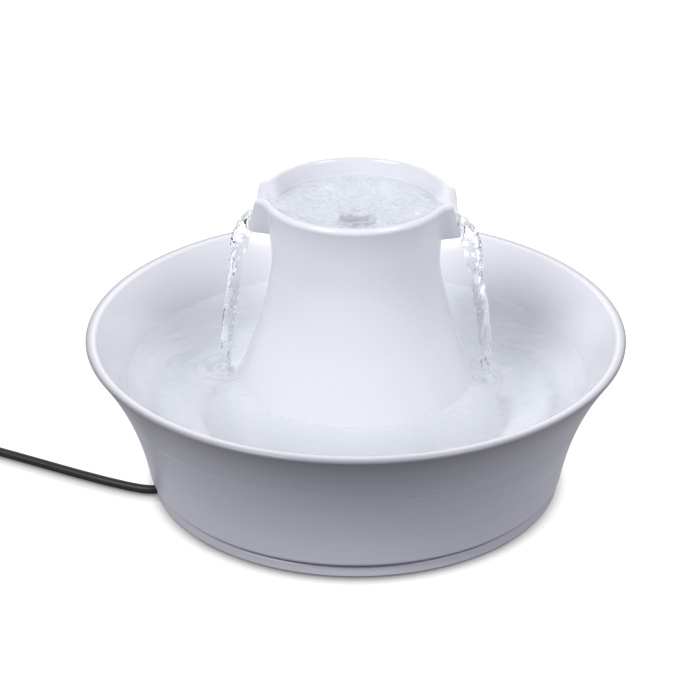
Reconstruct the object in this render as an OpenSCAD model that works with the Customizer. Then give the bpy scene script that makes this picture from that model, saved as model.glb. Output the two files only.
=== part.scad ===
// Ceramic pet fountain: a flared water bowl and a lift-off tower that pours from two spouts,
// with a submersible pump, a foam and a carbon filter under the tower, and a low-voltage lead.
// Millimetres, +Z up. The origin is on the surface it stands on, under the middle of the bowl.
// The spouts point along -X and +X.

/* [Bowl] */
// Outside diameter of the bowl at its rim
bowl_rim_d = 300; // [290:2:320]
// Height of the bowl's rim above the surface
bowl_h = 91.5; // [88:0.5:100]
// Outside diameter of the wall just above the foot groove
bowl_low_d = 236; // [232:1:240]
// Part of the wall's spread that is a straight lean
bowl_lean = 15; // [12:1:18]
// Lean of the wall at the rim, in degrees from upright
rim_angle = 34; // [30:1:38]
// Thickness of the bowl's wall
bowl_wall = 5.5; // [5:0.5:6.5]
// Height of the bowl's floor, on its inside
floor_top = 16; // [15:0.5:18]
// Height of the underside of the floor
floor_under = 10; // [9:0.5:11]

/* [Tower] */
// Height of the tower's rim above the surface
tower_top = 173; // [170:1:180]
// Outside diameter of the tower's rim
tower_rim_d = 104.4; // [100:0.2:108]
// Outside diameter of the waist
waist_d = 92.6; // [90:0.2:96]
// Height of the waist above the surface
waist_z = 134.5; // [130:0.5:140]
// How far the skirt spreads from the waist to its foot
skirt_flare = 40.5; // [36:0.5:42]
// Thickness of the tower's wall
tower_wall = 5; // [4:0.5:6]
// Depth of the dish below the tower's rim
dish_depth = 26; // [24:1:28]
// Turn of the tower about the middle of the bowl, in degrees
tower_turn = -4.5; // [-10:0.5:10]
// How far the tip of a spout stands out from the middle
spout_reach = 57.4; // [56:0.1:60]
// Height of the floor of a spout
spout_floor = 157.5; // [156:0.5:160]

/* [Pump and filter] */
// Width of the pump
pump_w = 44; // [42:1:46]
// Height of the pump
pump_h = 40; // [39:1:42]
// Width of the carbon cartridge
cartridge_w = 44; // [40:1:44]
// Height of the carbon cartridge
cartridge_h = 35; // [32:1:36]

/* [Cord] */
// Outside diameter of the lead
cord_d = 5; // [4.6:0.1:5.2]
// Radius of the outermost turn of the stored coil
coil_r = 38.6; // [38:0.2:40]

/* [Hidden] */

glaze = [0.93, 0.93, 0.95];
jacket = [0.14, 0.14, 0.14];
dark_plastic = [0.18, 0.19, 0.21];
copper = [0.72, 0.4, 0.2];
eps = 0.01;
fine = 96;

// bowl
rim_r = bowl_rim_d / 2;
lip_out = 1.4;          // radius of the rim's outer edge
lip_in = 2.6;           // radius of the rim's inner edge
wall_z0 = 11;           // where the wall leaves the rounded corner above the groove
corner_r = 3;           // that corner's radius
wall_z1 = bowl_h - lip_out * (1 + sin(rim_angle));
wall_dz = wall_z1 - wall_z0;
low_r = bowl_low_d / 2;
flare = rim_r - lip_out * (1 - cos(rim_angle)) - low_r - bowl_lean;
flare_pow = (tan(rim_angle) * wall_dz - bowl_lean) / flare;
lip_in_t = (bowl_h - lip_in * (1 - sin(rim_angle)) - bowl_wall * sin(rim_angle) - wall_z0) / wall_dz;
wall_steps = 22;
foot_bottom = 0.8;      // the pads hold the foot ring this far off the surface
foot_in_r = 104;
fillet_r = 13;          // inside, between the wall and the floor
fillet_t = 0.175;       // where the inner wall meets that fillet

function wall_r(t) = low_r + bowl_lean * t + flare * pow(t, flare_pow);
function wall_slope(t) = (bowl_lean + flare * flare_pow * pow(t, flare_pow - 1)) / wall_dz;
function wall_out(t) = [wall_r(t), wall_z0 + wall_dz * t];
function wall_in(t) = wall_out(t) + bowl_wall / norm([1, wall_slope(t)]) * [-1, wall_slope(t)];
function arc(c, r, a0, a1, n) = [for (i = [0:n]) let (a = a0 + (a1 - a0) * i / n) c + r * [cos(a), sin(a)]];

// cord: it passes the floor at seal_at and leaves the foot ring through a notch on the same line
seal_at = [-44, -10.5];
seal_dir = atan2(seal_at[1], seal_at[0]);
seal_r = 6;
boot_len = 30;
boot_z = 4.6;
notch_w = 9;
notch_h = 6.6;

// tower
lip_r = 2.1;            // the tower's rim is a full round of this radius
dish_r = tower_rim_d / 2 - 2 * lip_r;
dish_z = tower_top - 1; // the dish's curve starts here
dish_rz = dish_depth - 1;
dish_pow = 2.4;
dish_skin = 5;
seal_bore_r = 9;
neck_h = tower_top - waist_z;
rim_flare = (tower_rim_d - waist_d) / 2;
skirt_h = waist_z - floor_top;
skirt_pow = 1.45;
arch_r = 12;            // of the half-round water inlets in the foot of the skirt
spout_under = 150.5;
spout_top_w = 31;       // across the spout at the rim
spout_low_w = 12;       // across its keel
spout_rim_x = 55.8;     // where the spout's end starts, at the rim
spout_crest_r = 6;      // of the round that ends the spout's crest
spout_edge_r = 5;       // of its upright edges
keel_r = 3;
trough_low_w = 8;
trough_top_w = 24.4;

function tower_r(z) = z < waist_z
    ? waist_d / 2 + skirt_flare * pow((waist_z - z) / skirt_h, skirt_pow)
    : waist_d / 2 + rim_flare * pow((z - waist_z) / neck_h, 2);
function oval_z(r, rx, rz) = dish_z - rz * pow(1 - pow(r / rx, dish_pow), 1 / dish_pow);

// pump, its axis along Y at pump_axis; the impeller's chamber is under the riser at y = 0
tray_z = 23;            // top of the filter housing's floor
pump_axis = tray_z + 17;
cover_y = -9;           // front face of the pump's cover
chamber_y = 4;          // half the length of the impeller's chamber
chamber_r = 12;
back_y = 41;            // front face of the back cap
back_t = 3;
skin = 3;               // the pump body's wall, and its end wall round the chamber
well_r = 7;             // inside of the rotor's well
well_wall = 1.2;
well_end = 27;
nozzle_r = 5;
nozzle_bore = 3.2;
nozzle_top = 74;
shaft_r = 1;
front_bush_r = 2.6;
dial_pin_r = 2.5;
run_gap = 0.05;         // radial clearance where a part turns or slips on
magnet_r = 6.3;
stack_y = [12, 24];     // the laminations' two faces
yoke_z = [52, 57];
leg_x = [9.2, 15];
coil_x = 8;
lead_z = 45;            // where the lead leaves the pump's side
lead_y = 30;
gland_r = 4;
pot_y = 37;             // the resin fills the body from here to the back cap
bay_x = 23;             // inside half width of the filter bay
bay_y = [-42.5, -12.5];
bay_top = 60;
tray_wall = 2;
tray_x = 25;
tray_y = [-44.5, 46];
tray_rim = 30;
cup_at = [[-17, -36], [17, -36], [-17, 37], [17, 37]];
cup_hole_r = 2.5;
cartridge_y = [-41, -28];
foam_y = [-27, -15];
foam_w = 42;
foam_h = 33;
riser_r = 7;
riser_top = tower_top - dish_depth + 2;

// route of the lead between the pump and the seal, held inside the tower
lead_route = [[-24, 30, 45], [-29, 30, 45], [-34, 28, 44.5], [-39, 24, 43], [-43, 18, 40],
    [-45, 11, 36], [-46, 4, 32], [-46, -2, 28.5], [-45.3, -7, 25], [-44.3, -9.8, 21.5],
    [-44, -10.5, 18]];
// route of the free lead: under the bowl, out through the notch, along the surface to the coil
run_route = [[-73.2, -17.4, 4.6], [-79, -18.8, 4.3], [-86, -20.5, 3.5], [-94, -22.4, 2.8],
    [-102, -24.3, 2.5], [-110, -26.1, 2.5], [-118, -26.2, 2.5], [-127, -23.4, 2.5],
    [-136, -19.6, 2.5], [-145, -15.4, 2.5], [-157, -9.4, 2.5], [-170, -2.6, 2.5], [-182, 3.8, 2.5],
    [-194, 10.2, 2.5], [-206, 16.5, 2.5], [-218, 22.9, 2.5], [-229, 28.8, 2.6],
    [-240.6, 34.4, 3.2]];
coil_at = [-259, 0];
coil_z0 = 0.8;          // the tie's strap passes under the coil
coil_h = 10.2;
coil_inner = 17.2;
tie_w = 6;
tie_t = 0.8;
tie_angle = -75;
tail_route = [[-297.6, 0, 8.3], [-298, -8, 7.6], [-297.4, -17, 5.2], [-295.2, -26, 3.4],
    [-291.8, -34, 3.2], [-288.8, -42, 4.6], [-287.2, -50, 6.4], [-287, -56, 7]];

// adaptor, lying on its side
adaptor_at = [-287, -115];
adaptor_l = 66;
adaptor_w = 30;
adaptor_h = 48;
adaptor_skin = 2.2;
case_split = -4;        // where the two halves of the case meet
transformer_y = adaptor_at[1] - 6;
relief_len = 26;
blade_gap = 12.7;
blade_w = 6.3;
blade_t = 1.5;
blade_len = 17;
blade_y = -8;

// a box with upright rounded edges, its base in the middle of its underside
module rbox(x, y, z, r) {
    translate([-x / 2, -y / 2 + r, 0]) cube([x, y - 2 * r, z]);
    translate([-x / 2 + r, -y / 2, 0]) cube([x - 2 * r, y, z]);
    for (i = [-1, 1], j = [-1, 1])
        translate([i * (x / 2 - r), j * (y / 2 - r), 0]) cylinder(r = r, h = z, $fn = 32);
}

// a cylinder along Y, from y0 to y1, on the pump's axis
module ycyl(r, y0, y1, fn = 48) {
    translate([0, y1, pump_axis]) rotate([90, 0, 0]) cylinder(r = r, h = y1 - y0, $fn = fn);
}

// a round tube swept through the points of a route
function unit(v) = v / norm(v);
function along(p, i) = unit(p[min(i + 1, len(p) - 1)] - p[max(i - 1, 0)]);
function side(d) = unit(cross([0, 0, 1], d));
function ring(p, d, r, n) = [for (k = [0:n - 1])
    p + r * (cos(360 * k / n) * side(d) + sin(360 * k / n) * cross(d, side(d)))];
module tube(route, d, n = 10) {
    m = len(route);
    points = [for (i = [0:m - 1]) each ring(route[i], along(route, i), d / 2, n)];
    sides = [for (i = [0:m - 2], k = [0:n - 1])
        [i * n + k, (i + 1) * n + k, (i + 1) * n + (k + 1) % n, i * n + (k + 1) % n]];
    ends = [[for (k = [0:n - 1]) k], [for (k = [n - 1:-1:0]) (m - 1) * n + k]];
    polyhedron(points, concat(sides, ends), convexity = 10);
}

// ---- bowl ----

module bowl_section() {
    outside = [for (i = [0:wall_steps]) wall_out(i / wall_steps)];
    inside = [for (i = [wall_steps:-1:0]) wall_in(fillet_t + (lip_in_t - fillet_t) * i / wall_steps)];
    lip_c = inside[0] + lip_in * [cos(rim_angle), -sin(rim_angle)];
    low = inside[wall_steps];
    low_lean = atan(wall_slope(fillet_t));
    fillet_c = [low[0] - fillet_r * cos(low_lean), floor_top + fillet_r];
    polygon(concat(
        [[0, floor_under], [foot_in_r - 2, floor_under], [foot_in_r, floor_under - 2]],
        [[foot_in_r + 0.8, foot_bottom], [low_r - 3, foot_bottom]],
        [[low_r - 2.2, foot_bottom + 0.8], [low_r - 1, 6.1], [low_r - 1.4, 6.6], [low_r - 2.3, 6.9]],
        [[low_r - 2.3, 7.5]],
        arc([low_r - corner_r, wall_z0], corner_r, -70, -8, 6),
        outside,
        arc([rim_r - lip_out, bowl_h - lip_out], lip_out, -rim_angle + 12, 90, 6),
        arc([lip_c[0], bowl_h - lip_in], lip_in, 90, 180 - rim_angle - 8, 5),
        inside,
        arc(fillet_c, fillet_r, -low_lean - 8, -90, 8),
        [[0, floor_top]]));
}

module bowl() {
    color(glaze) difference() {
        rotate_extrude($fn = fine) bowl_section();
        translate([seal_at[0], seal_at[1], floor_under - 1])
            cylinder(r = seal_r, h = floor_top, $fn = 48);
        rotate([0, 0, seal_dir]) {
            translate([foot_in_r - 6, -notch_w / 2, -1]) cube([30, notch_w, notch_h + 1 - notch_w / 2]);
            translate([foot_in_r - 6, 0, notch_h - notch_w / 2]) rotate([0, 90, 0])
                cylinder(d = notch_w, h = 30, $fn = 32);
        }
    }
}

module foot_pads() {
    color([0.25, 0.25, 0.26]) for (a = [45:90:315])
        rotate([0, 0, a]) translate([low_r - 8.5, 0, 0]) cylinder(r = 4.2, h = foot_bottom, $fn = 32);
}

// the moulded rubber seal: a flanged plug in the floor and a boot that turns the lead outwards
module cord_seal() {
    boot_r = 3.9;
    color([0.16, 0.16, 0.17]) translate([seal_at[0], seal_at[1], 0]) {
        translate([0, 0, floor_top]) cylinder(r = seal_r + 3, h = 2, $fn = 48);
        translate([0, 0, floor_under]) cylinder(r = seal_r, h = floor_top - floor_under, $fn = 48);
        translate([0, 0, boot_z]) cylinder(r = boot_r, h = floor_under - boot_z, $fn = 48);
        translate([0, 0, boot_z]) sphere(r = boot_r, $fn = 48);
        translate([0, 0, boot_z]) rotate([0, 90, seal_dir])
            cylinder(r1 = boot_r, r2 = 3.2, h = boot_len, $fn = 48);
    }
}

module pump_lead() {
    color(jacket) tube(lead_route, cord_d);
}

// ---- pump tray with its filter bay ----

module filter_housing() {
    wall_y = bay_y[1] + tray_wall;
    color([0.88, 0.89, 0.9]) difference() {
        union() {
            translate([-tray_x, tray_y[0], tray_z - tray_wall])
                cube([2 * tray_x, tray_y[1] - tray_y[0], tray_rim - tray_z + tray_wall]);
            translate([-tray_x, tray_y[0], tray_z - tray_wall])
                cube([2 * tray_x, wall_y - tray_y[0], bay_top - tray_z + tray_wall]);
        }
        translate([-bay_x, bay_y[0], tray_z]) cube([2 * bay_x, bay_y[1] - bay_y[0], pump_h + 1]);
        translate([-bay_x, wall_y - 1, tray_z])
            cube([2 * bay_x, tray_y[1] - tray_wall - wall_y + 1, tray_rim]);
        // the bay is open towards the pump's intake
        translate([-18, bay_y[1] - 1, tray_z + 1]) cube([36, tray_wall + 2, pump_h]);
        // inlet slots in the front wall
        for (i = [-4:4])
            translate([i * 4.8 - 1.2, tray_y[0] - 1, tray_z + 3]) cube([2.4, tray_wall + 2, 28]);
        for (p = cup_at) translate([p[0], p[1], tray_z - tray_wall - 1])
            cylinder(r = cup_hole_r, h = tray_wall + 2, $fn = 32);
    }
}

module suction_cups() {
    cup_h = tray_z - tray_wall - floor_top;
    stem_r = cup_hole_r - run_gap;
    color([0.8, 0.82, 0.83]) for (p = cup_at) translate([p[0], p[1], floor_top])
        rotate_extrude($fn = 40) polygon([[0, 1.6], [4, 1.2], [7, 0], [8, 0], [8, 0.8], [5, 2.8], [3.4, 3.4],
            [3.4, cup_h], [stem_r, cup_h], [stem_r, cup_h + tray_wall], [0, cup_h + tray_wall]]);
}

// ---- pump ----

module pump_body() {
    cavity_h = pump_h - 2 * skin;
    color(dark_plastic) difference() {
        union() {
            difference() {
                translate([0, (back_y - chamber_y) / 2, tray_z])
                    rbox(pump_w, back_y + chamber_y, pump_h, 3);
                translate([-pump_w / 2 + skin, chamber_y + skin, tray_z + skin])
                    cube([pump_w - 2 * skin, back_y, cavity_h]);
            }
            ycyl(well_r + well_wall, chamber_y, well_end + 2);
            translate([0, 0, tray_z + pump_h])
                cylinder(r = nozzle_r, h = nozzle_top - tray_z - pump_h, $fn = 48);
        }
        ycyl(chamber_r, -chamber_y - 1, chamber_y);
        ycyl(well_r, chamber_y - eps, well_end);
        translate([0, 0, pump_axis]) cylinder(r = nozzle_bore, h = nozzle_top, $fn = 48);
        translate([-pump_w / 2 - 1, lead_y, lead_z]) rotate([0, 90, 0])
            cylinder(r = gland_r, h = skin + 2, $fn = 48);
    }
}

module pump_back() {
    color(dark_plastic) translate([0, back_y + back_t, tray_z + pump_h / 2]) rotate([90, 0, 0])
        rbox(pump_w, pump_h, back_t, 3);
}

module potting() {
    color([0.1, 0.1, 0.11]) translate([-pump_w / 2 + skin, pot_y, tray_z + skin])
        cube([pump_w - 2 * skin, back_y - pot_y, pump_h - 2 * skin]);
}

module stator_core() {
    color([0.55, 0.56, 0.58]) difference() {
        translate([-leg_x[1], stack_y[0], tray_z + skin])
            cube([2 * leg_x[1], stack_y[1] - stack_y[0], yoke_z[1] - tray_z - skin]);
        ycyl(well_r + well_wall + run_gap, stack_y[0] - 1, stack_y[1] + 1);
        translate([-leg_x[0], stack_y[0] - 1, pump_axis])
            cube([2 * leg_x[0], stack_y[1], yoke_z[0] - pump_axis]);
        translate([-2, stack_y[0] - 1, tray_z]) cube([4, stack_y[1], pump_axis - tray_z]);
    }
}

module stator_bobbin() {
    color([0.9, 0.88, 0.8]) difference() {
        union() {
            translate([-coil_x, stack_y[0] - 1, yoke_z[0] - 1])
                cube([2 * coil_x, stack_y[1] - stack_y[0] + 2, yoke_z[1] - yoke_z[0] + 2]);
            for (s = [-1, 1]) translate([s * coil_x - 0.5, stack_y[0] - 4.5, yoke_z[0] - 3.4])
                cube([1, stack_y[1] - stack_y[0] + 9, yoke_z[1] - yoke_z[0] + 6.2]);
        }
        translate([-leg_x[0], stack_y[0], yoke_z[0]])
            cube([2 * leg_x[0], stack_y[1] - stack_y[0], yoke_z[1] - yoke_z[0]]);
    }
}

module stator_coil() {
    color(copper) difference() {
        translate([-coil_x + 0.5, stack_y[0] - 4, yoke_z[0] - 3])
            cube([2 * coil_x - 1, stack_y[1] - stack_y[0] + 8, yoke_z[1] - yoke_z[0] + 5.5]);
        translate([-coil_x, stack_y[0] - 1, yoke_z[0] - 1])
            cube([2 * coil_x, stack_y[1] - stack_y[0] + 2, yoke_z[1] - yoke_z[0] + 2]);
    }
}

// three windows between two radii, each a sixth of a turn wide
module windows(y0, y1) {
    for (a = [0:120:240]) intersection() {
        difference() {
            ycyl(10.5, y0, y1);
            ycyl(4.6, y0 - 1, y1 + 1);
        }
        translate([0, y1, pump_axis]) rotate([90, 0, 0]) linear_extrude(y1 - y0)
            polygon([[0, 0], 20 * [cos(a + 62), sin(a + 62)], 20 * [cos(a + 90), sin(a + 90)],
                20 * [cos(a + 118), sin(a + 118)]]);
    }
}

module pump_cover() {
    color(dark_plastic) {
        difference() {
            translate([0, -chamber_y, tray_z + pump_h / 2]) rotate([90, 0, 0])
                rbox(pump_w, pump_h, -cover_y - chamber_y, 3);
            windows(cover_y - 1, -chamber_y + 1);
            ycyl(front_bush_r, cover_y + 2, -chamber_y + 1);
        }
        // the pin that the flow dial turns on
        ycyl(dial_pin_r, cover_y - 2.4, cover_y + eps);
        // the two stops of the dial
        for (a = [-101.5, -18.5]) translate([0, cover_y, pump_axis]) rotate([90, a, 0])
            translate([13.6, -1, 0]) cube([2, 2, 1.6]);
    }
}

module flow_dial() {
    color([0.55, 0.6, 0.65]) difference() {
        union() {
            ycyl(12.6, cover_y - 2.1, cover_y - 0.1);
            translate([0, cover_y - 0.1, pump_axis]) rotate([90, 0, 0])
                translate([-1.5, 11, 0]) cube([3, 4.5, 2]);
        }
        windows(cover_y - 3, cover_y + 1);
        ycyl(dial_pin_r + run_gap, cover_y - 3, cover_y + 1);
    }
}

module front_bush() {
    color([0.85, 0.82, 0.76]) difference() {
        ycyl(front_bush_r, cover_y + 2, -chamber_y + 0.4);
        ycyl(shaft_r, cover_y + 3, -chamber_y + 1, 32);
    }
}

module rear_bush() {
    color([0.85, 0.82, 0.76]) difference() {
        ycyl(3, well_end - 1.4, well_end);
        ycyl(shaft_r, well_end - 2, well_end + 1, 32);
    }
}

module impeller_shaft() {
    color([0.93, 0.92, 0.88]) ycyl(shaft_r, cover_y + 3, well_end, 32);
}

module lead_gland() {
    flange_t = 2;
    color([0.15, 0.15, 0.16]) translate([-pump_w / 2 - flange_t, lead_y, lead_z]) rotate([0, 90, 0]) {
        cylinder(r = gland_r + 1, h = flange_t, $fn = 48);
        translate([0, 0, flange_t]) cylinder(r = gland_r - run_gap, h = skin, $fn = 48);
    }
}

module riser_tube() {
    color(dark_plastic) translate([0, 0, tray_z + pump_h]) difference() {
        cylinder(r = riser_r, h = riser_top - tray_z - pump_h, $fn = 64);
        translate([0, 0, -1]) cylinder(r = nozzle_r + run_gap, h = riser_top, $fn = 64);
    }
}

module impeller() {
    color([0.88, 0.88, 0.84]) difference() {
        union() {
            ycyl(3, -chamber_y + 0.8, chamber_y + 0.5);
            ycyl(10.2, chamber_y - 1.8, chamber_y - 0.6);
            for (a = [0:60:300]) translate([0, chamber_y - 0.8, pump_axis]) rotate([90, a, 0])
                translate([2, -0.6, 0]) cube([8, 1.2, 5.2]);
        }
        ycyl(shaft_r + run_gap, -chamber_y - 1, chamber_y + 2, 32);
    }
}

module rotor_magnet() {
    color([0.3, 0.3, 0.32]) difference() {
        ycyl(magnet_r, chamber_y + 0.5, well_end - 2);
        ycyl(shaft_r + run_gap, chamber_y, well_end, 32);
    }
}

// ---- filters ----

module cartridge_frame() {
    thick = cartridge_y[1] - cartridge_y[0];
    z0 = tray_z + 0.5;
    color([0.9, 0.92, 0.93]) difference() {
        union() {
            translate([0, cartridge_y[0] + thick / 2, z0]) rbox(cartridge_w, thick, cartridge_h, 2);
            translate([-7, cartridge_y[0] + thick / 2 - 1, z0 + cartridge_h - eps]) cube([14, 2, 4]);
        }
        translate([-cartridge_w / 2 + 2.5, cartridge_y[0] + 1.5, z0 + 2.5])
            cube([cartridge_w - 5, thick - 3, cartridge_h - 5]);
        for (i = [-2:2], j = [0:1]) translate([i * 7.8 - 3, cartridge_y[0] - 1, z0 + 3.5 + j * 14.5])
            cube([6, thick + 2, 13]);
    }
}

module carbon_pad() {
    color([0.14, 0.14, 0.15]) translate([-cartridge_w / 2 + 2.5, cartridge_y[0] + 1.5, tray_z + 3])
        cube([cartridge_w - 5, cartridge_y[1] - cartridge_y[0] - 3, cartridge_h - 5]);
}

module foam_filter() {
    color([0.2, 0.24, 0.3]) translate([0, (foam_y[0] + foam_y[1]) / 2, tray_z + 0.3])
        rbox(foam_w, foam_y[1] - foam_y[0], foam_h, 2);
}

// ---- tower ----

module tower_section() {
    z_steps = 30;
    lip_z = tower_top - lip_r;
    out = [for (i = [0:z_steps]) let (z = floor_top + (lip_z - floor_top) * i / z_steps) [tower_r(z), z]];
    dish = [for (i = [18:-1:0]) let (r = dish_r * sin(90 * i / 18)) [r, oval_z(r, dish_r + 0.05, dish_rz)]];
    difference() {
        polygon(concat([[0, floor_top]], out,
            arc([tower_rim_d / 2 - lip_r, lip_z], lip_r, 10, 170, 10), dish));
        tower_hollow();
    }
}

module tower_hollow() {
    ceil_rx = dish_r + dish_skin;
    ceil_rz = dish_rz + dish_skin;
    wall_x = waist_d / 2 - tower_wall;
    wall_top = oval_z(wall_x, ceil_rx, ceil_rz);
    ceiling = [for (i = [0:12]) let (r = wall_x * i / 12) [r, oval_z(r, ceil_rx, ceil_rz)]];
    side_in = [for (i = [0:20]) let (z = wall_top + (floor_top - wall_top) * i / 20)
        [z > waist_z ? wall_x : tower_r(z) - tower_wall, z]];
    polygon(concat(ceiling, side_in, [[side_in[20][0], floor_top - 1], [0, floor_top - 1]]));
}

// a spout's body: its profile from the side, cut to its shapes seen end on and from above
module spout_body() {
    inner_x = 38;
    crest = tower_top - spout_crest_r;
    lip_z = tower_top - lip_r;
    keel_z = spout_under + keel_r;
    intersection() {
        translate([0, 20, 0]) rotate([90, 0, 0]) linear_extrude(40)
            polygon(concat([[inner_x, spout_under], [spout_reach - 1.5, spout_under]],
                arc([spout_reach - 1.5, spout_under + 1.5], 1.5, -90, 0, 4),
                arc([spout_rim_x - spout_crest_r, crest], spout_crest_r, 0, 90, 8),
                [[inner_x, tower_top]]));
        translate([inner_x, 0, 0]) rotate([90, 0, 90]) linear_extrude(30)
            polygon(concat(
                arc([spout_low_w / 2 - keel_r, keel_z], keel_r, -90, -10, 5),
                arc([spout_top_w / 2 - lip_r, lip_z], lip_r, 0, 90, 5),
                arc([-spout_top_w / 2 + lip_r, lip_z], lip_r, 90, 180, 5),
                arc([-spout_low_w / 2 + keel_r, keel_z], keel_r, 190, 270, 5)));
        translate([0, 0, spout_under - 1])
            rbox(2 * spout_reach, spout_top_w, tower_top - spout_under + 2, spout_edge_r);
    }
}

// the trough's half width, from its floor at t = 0 to the rim at t = 1
function trough_half(t) = (trough_low_w + (trough_top_w - trough_low_w) * sqrt(t)) / 2;

module spout_trough() {
    steps = 8;
    depth = tower_top - spout_floor;
    wall = [for (i = [0:steps]) [trough_half(pow(i / steps, 2)), spout_floor + depth * pow(i / steps, 2)]];
    rim = [[trough_top_w / 2, tower_top + 1], [-trough_top_w / 2, tower_top + 1]];
    other = [for (i = [steps:-1:0]) [-wall[i][0], wall[i][1]]];
    translate([30, 0, 0]) rotate([90, 0, 90]) linear_extrude(40) polygon(concat(wall, rim, other));
}

module tower() {
    color(glaze) rotate([0, 0, tower_turn]) difference() {
        union() {
            rotate_extrude($fn = fine) tower_section();
            difference() {
                for (s = [0, 180]) rotate([0, 0, s]) spout_body();
                cylinder(r = dish_r - 3, h = 2 * tower_top, $fn = fine);
            }
        }
        for (s = [0, 180]) rotate([0, 0, s]) spout_trough();
        // water inlets in the foot of the skirt
        for (a = [0, 90, 180]) rotate([0, 0, a])
            translate([waist_d / 2, 0, floor_top]) rotate([0, 90, 0]) cylinder(r = arch_r, h = 60, $fn = 48);
        cylinder(r = seal_bore_r, h = 2 * tower_top, $fn = 64);
    }
}

module dish_seal() {
    over = tower_top - dish_depth + 0.8;
    under = tower_top - dish_depth - dish_skin - 0.2;
    bore_r = riser_r + run_gap;
    top_r = seal_bore_r + 1;
    low_r = seal_bore_r + 2;
    color([0.85, 0.86, 0.87]) rotate_extrude($fn = 64)
        polygon([[bore_r, under - 1.4], [low_r, under - 1.4], [low_r, under], [seal_bore_r, under],
            [seal_bore_r, over], [top_r, over], [top_r, over + 0.8], [bore_r, over + 1.2]]);
}

// ---- free lead and its adaptor ----

module cord_run() {
    color(jacket) tube(run_route, cord_d);
}

module cord_tail() {
    color(jacket) tube(tail_route, cord_d);
}

module cord_coil() {
    out = coil_r + cord_d / 2 + 0.1;
    edge = 1.5;
    color(jacket) translate([coil_at[0], coil_at[1], coil_z0]) rotate_extrude($fn = 64)
        polygon([[coil_inner, edge], [coil_inner + edge, 0], [out - edge, 0], [out, edge],
            [out, coil_h - edge], [out - edge, coil_h],
            [coil_inner + edge, coil_h], [coil_inner, coil_h - edge]]);
}

module coil_tie() {
    x0 = coil_inner - 0.4;
    x1 = coil_r + cord_d / 2 + 0.5;
    color([0.1, 0.1, 0.1]) translate([coil_at[0], coil_at[1], 0]) rotate([0, 0, tie_angle]) difference() {
        translate([x0 - tie_t, -tie_w / 2, 0])
            cube([x1 - x0 + 2 * tie_t, tie_w, coil_h + coil_z0 + tie_t + 0.2]);
        translate([x0, -tie_w, coil_z0 - 0.01]) cube([x1 - x0, 2 * tie_w, coil_h + 0.2]);
    }
}

module adaptor_relief() {
    end_y = adaptor_at[1] + adaptor_l / 2;
    color([0.12, 0.12, 0.12]) translate([adaptor_at[0], end_y, 7]) rotate([-90, 0, 0])
        cylinder(r1 = 5, r2 = 3.2, h = relief_len, $fn = 40);
}

module adaptor_shell() {
    translate([adaptor_at[0], adaptor_at[1], 0]) difference() {
        rbox(adaptor_w, adaptor_l, adaptor_h, 5);
        translate([0, 0, adaptor_skin]) rbox(adaptor_w - 2 * adaptor_skin, adaptor_l - 2 * adaptor_skin,
            adaptor_h - 2 * adaptor_skin, 3);
    }
}

module adaptor_front() {
    color([0.13, 0.13, 0.14]) intersection() {
        adaptor_shell();
        translate([adaptor_at[0] + case_split, adaptor_at[1] - adaptor_l, -1])
            cube([adaptor_w, 2 * adaptor_l, adaptor_h + 2]);
    }
}

module adaptor_back() {
    color([0.13, 0.13, 0.14]) intersection() {
        adaptor_shell();
        translate([adaptor_at[0] + case_split - adaptor_w, adaptor_at[1] - adaptor_l, -1])
            cube([adaptor_w, 2 * adaptor_l, adaptor_h + 2]);
    }
}

module adaptor_blades() {
    color([0.8, 0.72, 0.5])
        translate([adaptor_at[0] - adaptor_w / 2, adaptor_at[1] + blade_y, adaptor_h / 2])
            for (s = [-1, 1]) translate([-blade_len, s * blade_gap / 2 - blade_t / 2, -blade_w / 2])
                cube([blade_len, blade_t, blade_w]);
}

module transformer_core() {
    color([0.5, 0.51, 0.53]) translate([adaptor_at[0], transformer_y, adaptor_skin]) difference() {
        translate([-7, -18, 4]) cube([14, 36, 32]);
        for (s = [-1, 1]) translate([-8, s * 9.5 - 3.5, 10]) cube([16, 7, 20]);
    }
}

module transformer_coil() {
    color(copper) translate([adaptor_at[0], transformer_y, adaptor_skin]) difference() {
        translate([-10.5, -12.8, 10.4]) cube([21, 25.6, 19.2]);
        translate([-7.2, -6.2, 9]) cube([14.4, 12.4, 22]);
    }
}

bowl();
foot_pads();
cord_seal();
pump_lead();
filter_housing();
suction_cups();
pump_body();
pump_back();
potting();
stator_core();
stator_bobbin();
stator_coil();
pump_cover();
front_bush();
rear_bush();
impeller_shaft();
lead_gland();
riser_tube();
impeller();
rotor_magnet();
flow_dial();
cartridge_frame();
carbon_pad();
foam_filter();
tower();
dish_seal();
cord_run();
cord_coil();
coil_tie();
cord_tail();
adaptor_relief();
adaptor_front();
adaptor_back();
adaptor_blades();
transformer_core();
transformer_coil();
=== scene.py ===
import math

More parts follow.
